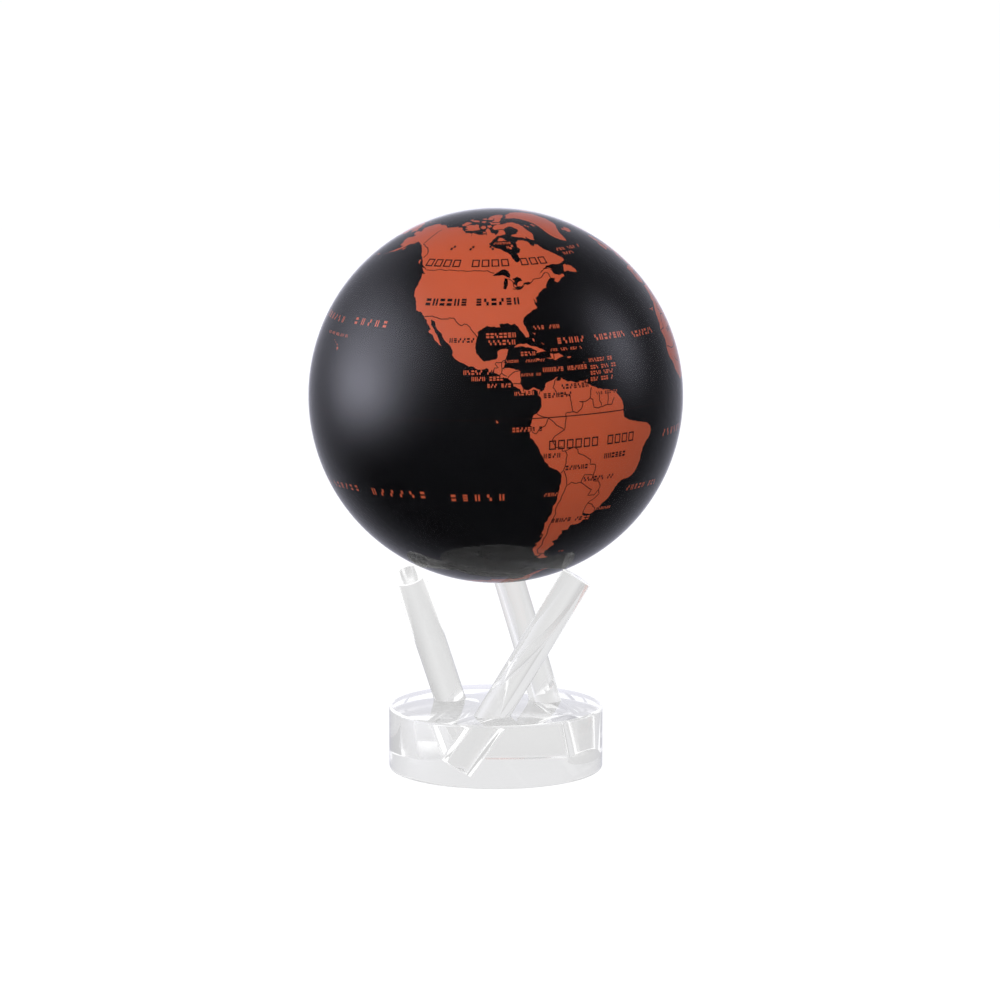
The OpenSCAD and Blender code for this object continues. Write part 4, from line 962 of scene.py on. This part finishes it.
def smudge_group():
    """Faint handling marks on polished clear pieces."""
    group, given, result = new_group(
        "smudges", {"Scale": 40.0, "Least": 0.0, "Most": 0.02}, ("Roughness",)
    )
    marks = noise(group, given["Scale"], 4)
    feed(group, result["Roughness"], stretch(group, marks, 0.5, 0.75, given["Least"], given["Most"]))
    return group


GRAIN = grain_group()
SMUDGES = smudge_group()


def new_material(name):
    material = bpy.data.materials.new(name)
    material.use_nodes = True
    tree = material.node_tree
    tree.nodes.clear()
    shader = add(tree, "ShaderNodeBsdfPrincipled")
    out = add(tree, "ShaderNodeOutputMaterial")
    tree.links.new(shader.outputs[0], out.inputs["Surface"])
    return material, tree, shader


def grained(tree, group, **settings):
    """The shared effect as a node, set with words whose underscores stand for spaces."""
    effect = add(tree, "ShaderNodeGroup", node_tree=group)
    for label, value in settings.items():
        effect.inputs[label.replace("_", " ")].default_value = value
    return effect.outputs


def opaque(name, colour, scale, tone, least, most, bump=0.0, **sockets):
    """An opaque finish with grain. Sockets are the shader's own, with spaces as underscores."""
    material, tree, shader = new_material(name)
    grain = grained(
        tree, GRAIN, Colour=(*colour, 1), Tone=tone, Scale=scale, Least_Roughness=least,
        Most_Roughness=most,
    )
    tree.links.new(grain["Colour"], shader.inputs["Base Color"])
    tree.links.new(grain["Roughness"], shader.inputs["Roughness"])
    if bump:
        relief = add(tree, "ShaderNodeBump")
        relief.inputs["Strength"].default_value = bump
        relief.inputs["Distance"].default_value = BUMP_DEPTH
        tree.links.new(grain["Height"], relief.inputs["Height"])
        tree.links.new(relief.outputs["Normal"], shader.inputs["Normal"])
    for label, value in sockets.items():
        shader.inputs[label.replace("_", " ")].default_value = value
    return material


def clear(name, index, most_haze, least_haze=0.0):
    """A clear finish with that refractive index."""
    material, tree, shader = new_material(name)
    marks = grained(tree, SMUDGES, Scale=SMUDGE_SCALE, Least=least_haze, Most=most_haze)
    tree.links.new(marks["Roughness"], shader.inputs["Roughness"])
    shader.inputs["Base Color"].default_value = (1, 1, 1, 1)
    shader.inputs["IOR"].default_value = index
    shader.inputs["Transmission Weight"].default_value = 1
    return material


def painted_glow(material, kind, often, brightness):
    """Paints a pale glow onto the surface, as emission, where a ray has bounced in that way more often than
    this.
    """
    tree = material.node_tree
    shader = next(node for node in tree.nodes if node.type == "BSDF_PRINCIPLED")
    glow = maths(tree, "MULTIPLY", bounced(tree, kind, often), brightness)
    tree.links.new(glow, shader.inputs["Emission Color"])
    shader.inputs["Emission Strength"].default_value = 1
    return tree, shader


def stand_finish(name, most_haze, least_haze=0.0):
    """Clear acrylic for the stand, which stays pale inside by a painted glow where rays are trapped, and
    shows dimly in the ball by painted shade in its colour where it is seen mirrored.
    """
    material = clear(name, ACRYLIC_INDEX, most_haze, least_haze)
    # A painted pale glow where a ray has been mirrored often inside the stand.
    tree, shader = painted_glow(material, "Glossy", TRAPPED_DEPTH, TRAPPED_PAINTED_GLOW)
    # Painted shade: where the stand is seen mirrored, as in the outside of the ball, its colour drops to a
    # dark grey.
    colour_or_painted_shade = pick(tree, mirrored_outside(tree), STAND_TINT, MIRRORED_PAINTED_SHADE)
    # Where a ray is trapped, the colour goes black and only the painted glow shows.
    trapped = bounced(tree, "Glossy", TRAPPED_DEPTH)
    tree.links.new(pick(tree, trapped, colour_or_painted_shade, 0), shader.inputs["Base Color"])
    return material


BUMP_DEPTH = 0.02 * MM
SMUDGE_SCALE = 40
STAND_TINT = 0.98
# The stand's colour where it is seen mirrored in the ball is painted shade.
MIRRORED_PAINTED_SHADE = 0.16
# A ray that has been mirrored more often than this inside the stand ends there, on a painted pale glow, so
# it ends pale.
TRAPPED_DEPTH = 3.5
TRAPPED_PAINTED_GLOW = 0.66
# The print is seen through the ball alone after two clear surfaces, and through a rod after more; past this
# depth it gets a painted pale glow.
PRINT_DEPTH = 2.5
PRINT_PAINTED_GLOW = 0.55
ACRYLIC_INDEX = 1.49
LIQUID_INDEX = 1.45

SEA = opaque("black_sea_print", (0.0045, 0.0038, 0.0045), 3000, 0.3, 0.5, 0.6, Specular_IOR_Level=0)
LAND = opaque("copper_land_print", (0.92, 0.145, 0.042), 5000, 0.12, 0.4, 0.5, bump=0.3, Metallic=0.08)
INK = opaque("dark_line_ink", (0.02, 0.010, 0.010), 4000, 0.2, 0.5, 0.6, Specular_IOR_Level=0)
# A painted pale glow on the print where it is seen through more than two clear surfaces.
for printed in (SEA, LAND, INK):
    painted_glow(printed, "Transmission", PRINT_DEPTH, PRINT_PAINTED_GLOW)
BALL_OUTSIDE = clear("polished_ball_acrylic", ACRYLIC_INDEX, 0.008)
BALL_INSIDE = clear("acrylic_meeting_liquid", ACRYLIC_INDEX / LIQUID_INDEX, 0.0)
STAND_CLEAR = stand_finish("polished_stand_acrylic", 0.02)
STAND_SAWN = stand_finish("sawn_stand_acrylic", 0.4, 0.25)
LIQUID = opaque("index_matched_liquid", (0.3, 0.35, 0.4), 80, 0.05, 0.0, 0.02, Alpha=0.005)
IVORY_SHELL = opaque("ivory_moulded_shell", (0.82, 0.79, 0.7), 2500, 0.06, 0.42, 0.55, 0.1)
DARK_PLASTIC = opaque("dark_moulded_plastic", (0.015, 0.015, 0.017), 4000, 0.2, 0.4, 0.55, 0.15)
BRASS = opaque("turned_brass", (0.72, 0.5, 0.2), 3000, 0.12, 0.2, 0.38, 0.08, Metallic=1)
STEEL = opaque("machined_steel", (0.55, 0.56, 0.58), 3500, 0.1, 0.25, 0.42, 0.08, Metallic=1)
MAGNET = opaque("nickel_plated_magnet", (0.6, 0.6, 0.58), 2500, 0.08, 0.14, 0.26, Metallic=1)
COPPER = opaque("enamelled_copper_wire", (0.6, 0.23, 0.1), 6000, 0.15, 0.22, 0.36, 0.15, Metallic=1)
CIRCUIT_BOARD = opaque("green_circuit_board", (0.01, 0.09, 0.03), 1800, 0.25, 0.3, 0.42, 0.05)
SOLAR_CELL = opaque("dark_blue_solar_cell", (0.006, 0.012, 0.05), 900, 0.35, 0.08, 0.16, Coat_Weight=1)
JEWEL = opaque("ruby_jewel", (0.5, 0.01, 0.03), 1500, 0.15, 0.03, 0.08, Transmission_Weight=0.6)
LEAD_RED = opaque("red_insulated_wire", (0.35, 0.012, 0.01), 3500, 0.15, 0.45, 0.6, 0.1)


INSIDE = (
    (LIQUID, "upper_liquid lower_liquid"),
    (IVORY_SHELL, "globe_half_north globe_half_south equator_ring"),
    (DARK_PLASTIC, "deck_plate bearing_bridge brush_block magnet_carrier commutator_hub"),
    (BRASS, "jewel_post frame_pillars brush_wires commutator_segments"),
    (STEEL, "deck_screws bridge_screws pillar_screws ballast_weight rotor_shaft magnet_yoke"),
    (MAGNET, "compass_magnet drive_magnets"),
    (COPPER, "drive_coils"),
    (CIRCUIT_BOARD, "cell_board"),
    (SOLAR_CELL, "solar_cells"),
    (JEWEL, "upper_jewel lower_jewel"),
    (LEAD_RED, "lead_wires"),
)
for finish, names in INSIDE:
    for name in names.split():
        nodes[name].data.materials.clear()
        nodes[name].data.materials.append(finish)

# ---------------------------------------------------------------- pieces

printed_globe(SEA, LAND)
map_lines(INK)
captions(INK, LAND)
clear_ball(BALL_OUTSIDE, BALL_INSIDE)
clear_base(STAND_CLEAR)
for rod_node, rod_name in zip(ROD_NODES, ("front_rod", "right_rod", "left_rod")):
    clear_rod(rod_node, rod_name, STAND_CLEAR, STAND_SAWN)

# ---------------------------------------------------------------- floor and light

FLOOR_HALF = 3.0
FLOOR_DROP = 0.2 * MM
FLOOR_COLOUR = (0.12, 0.12, 0.12, 1)
FLOOR_SEEN = 1.0
FLOOR_THROUGH = 0.76
FLOOR_FADE = 0.8
FADE_WIDTH = 0.2
FLOOR_MIRRORED = 0.04
FLOOR_LIT = 0.1


def split_by_path(tree, seen, through, mirrored, lit):
    """Picks the light to show: seen at first hand, seen through clear pieces, mirrored by the
    outside of something, or falling on soft surfaces."""
    first = pick(tree, bounced(tree, "Glossy"), seen, mirrored)
    clear_or_first = pick(tree, bounced(tree, "Transmission"), first, through)
    return pick(tree, bounced(tree, "Diffuse"), clear_or_first, lit)


def floor():
    """A pale floor, seen as white and dimmer through the clear pieces away from its middle."""
    work = bmesh.new()
    bmesh.ops.create_grid(work, x_segments=1, y_segments=1, size=FLOOR_HALF)
    mesh = finished(work, "floor")
    plane = bpy.data.objects.new("floor", mesh)
    plane.location.z = -FLOOR_DROP
    bpy.context.scene.collection.objects.link(plane)
    material, tree, shader = new_material("pale_floor")
    shader.inputs["Base Color"].default_value = FLOOR_COLOUR
    shader.inputs["Roughness"].default_value = 0.9
    shader.inputs["Specular IOR Level"].default_value = 0
    shader.inputs["Emission Color"].default_value = (1, 1, 1, 1)
    place = add(tree, "ShaderNodeSeparateXYZ")
    tree.links.new(add(tree, "ShaderNodeNewGeometry").outputs["Position"], place.inputs[0])
    aside = maths(tree, "MINIMUM", maths(tree, "ABSOLUTE", place.outputs["X"]), FADE_WIDTH)
    through = maths(tree, "MULTIPLY_ADD", aside, -FLOOR_FADE, FLOOR_THROUGH)
    glow = split_by_path(tree, FLOOR_SEEN, through, FLOOR_MIRRORED, FLOOR_LIT)
    tree.links.new(glow, shader.inputs["Emission Strength"])
    mesh.materials.append(material)
    plane.visible_glossy = False


def towards(azimuth, elevation):
    """The direction at an azimuth from the camera's, clockwise from above, and an elevation."""
    angle, rise = CAMERA_AZIMUTH + math.radians(azimuth), math.radians(elevation)
    return Vector((math.sin(angle) * math.cos(rise), -math.cos(angle) * math.cos(rise), math.sin(rise)))


def soft_light(tree, direction, azimuth, elevation, half_width, half_height, strength):
    """A patch of light that fades out all round, as a studio's diffused lamp looks."""
    middle = towards(azimuth, elevation)
    across = Vector((0, 0, 1)).cross(middle).normalized()
    upward = middle.cross(across)
    spread = 0.0
    for axis, half in ((across, half_width), (upward, half_height)):
        angle = maths(tree, "ARCSINE", dot(tree, direction, axis))
        share = maths(tree, "DIVIDE", angle, math.radians(half))
        spread = maths(tree, "MULTIPLY_ADD", share, share, spread)
    fade = maths(tree, "EXPONENT", maths(tree, "MULTIPLY", spread, -1))
    near = maths(tree, "GREATER_THAN", dot(tree, direction, middle), 0)
    return maths(tree, "MULTIPLY", maths(tree, "MULTIPLY", fade, near), strength)


def dot(tree, direction, axis):
    node = add(tree, "ShaderNodeVectorMath", operation="DOT_PRODUCT")
    tree.links.new(direction, node.inputs[0])
    node.inputs[1].default_value = axis
    return node.outputs["Value"]


# Each lamp's azimuth, elevation, half width and half height in degrees, and its strength
SOFT_LIGHTS = (
    (-86.7, 3.6, 26.0, 16.7, 3.4),
    (-85.6, 28.0, 32.7, 18.4, 1.9),
    (90.4, 22.8, 15.9, 18.8, 1.46),
)


BACKDROP_SEEN = 1.04
BACKDROP_THROUGH = 0.87
# How the backdrop is mirrored: everywhere, behind the object, and just behind its outline
DARK_ROOM = 0.038
BEHIND = 0.466
RIM = 0.6
RIM_SHARPNESS = 40
# The even part of the light on soft surfaces, and its parts from the right, from near and from above
EVEN_LIGHT = 0.04
MAIN_LIGHT = VIEW_RIGHT * -0.55 + VIEW_NEAR * 1.62 + Vector((0, 0, 0.68))
PALE = 0.97
BLUE = 0.98
MIRRORED_BLUE = 1.14


def studio():
    """A white studio, whose lamps only the outside of the object mirrors."""
    world = bpy.data.worlds.new("studio")
    bpy.context.scene.world = world
    world.use_nodes = True
    tree = world.node_tree
    tree.nodes.clear()
    direction = add(tree, "ShaderNodeTexCoord").outputs["Generated"]
    behind = maths(tree, "MAXIMUM", dot(tree, direction, -towards(0, 0)), 0)
    square = maths(tree, "MULTIPLY", behind, behind)
    mirrored = maths(tree, "MULTIPLY_ADD", square, BEHIND, DARK_ROOM)
    rim = maths(tree, "POWER", behind, RIM_SHARPNESS)
    mirrored = maths(tree, "MULTIPLY_ADD", rim, RIM, mirrored)
    for light in SOFT_LIGHTS:
        mirrored = maths(tree, "ADD", mirrored, soft_light(tree, direction, *light))
    facing = maths(tree, "ADD", dot(tree, direction, MAIN_LIGHT), EVEN_LIGHT)
    lit = maths(tree, "MAXIMUM", facing, 0)
    colour = add(tree, "ShaderNodeCombineColor")
    blue = pick(tree, mirrored_outside(tree), BLUE, MIRRORED_BLUE)
    for channel, value in (("Red", PALE), ("Green", PALE), ("Blue", blue)):
        feed(tree, colour.inputs[channel], value)
    background = add(tree, "ShaderNodeBackground")
    tree.links.new(colour.outputs["Color"], background.inputs["Color"])
    strength = split_by_path(tree, BACKDROP_SEEN, BACKDROP_THROUGH, mirrored, lit)
    tree.links.new(strength, background.inputs["Strength"])
    out = add(tree, "ShaderNodeOutputWorld")
    tree.links.new(background.outputs[0], out.inputs["Surface"])


floor()
studio()
bpy.context.scene.view_settings.view_transform = "Standard"
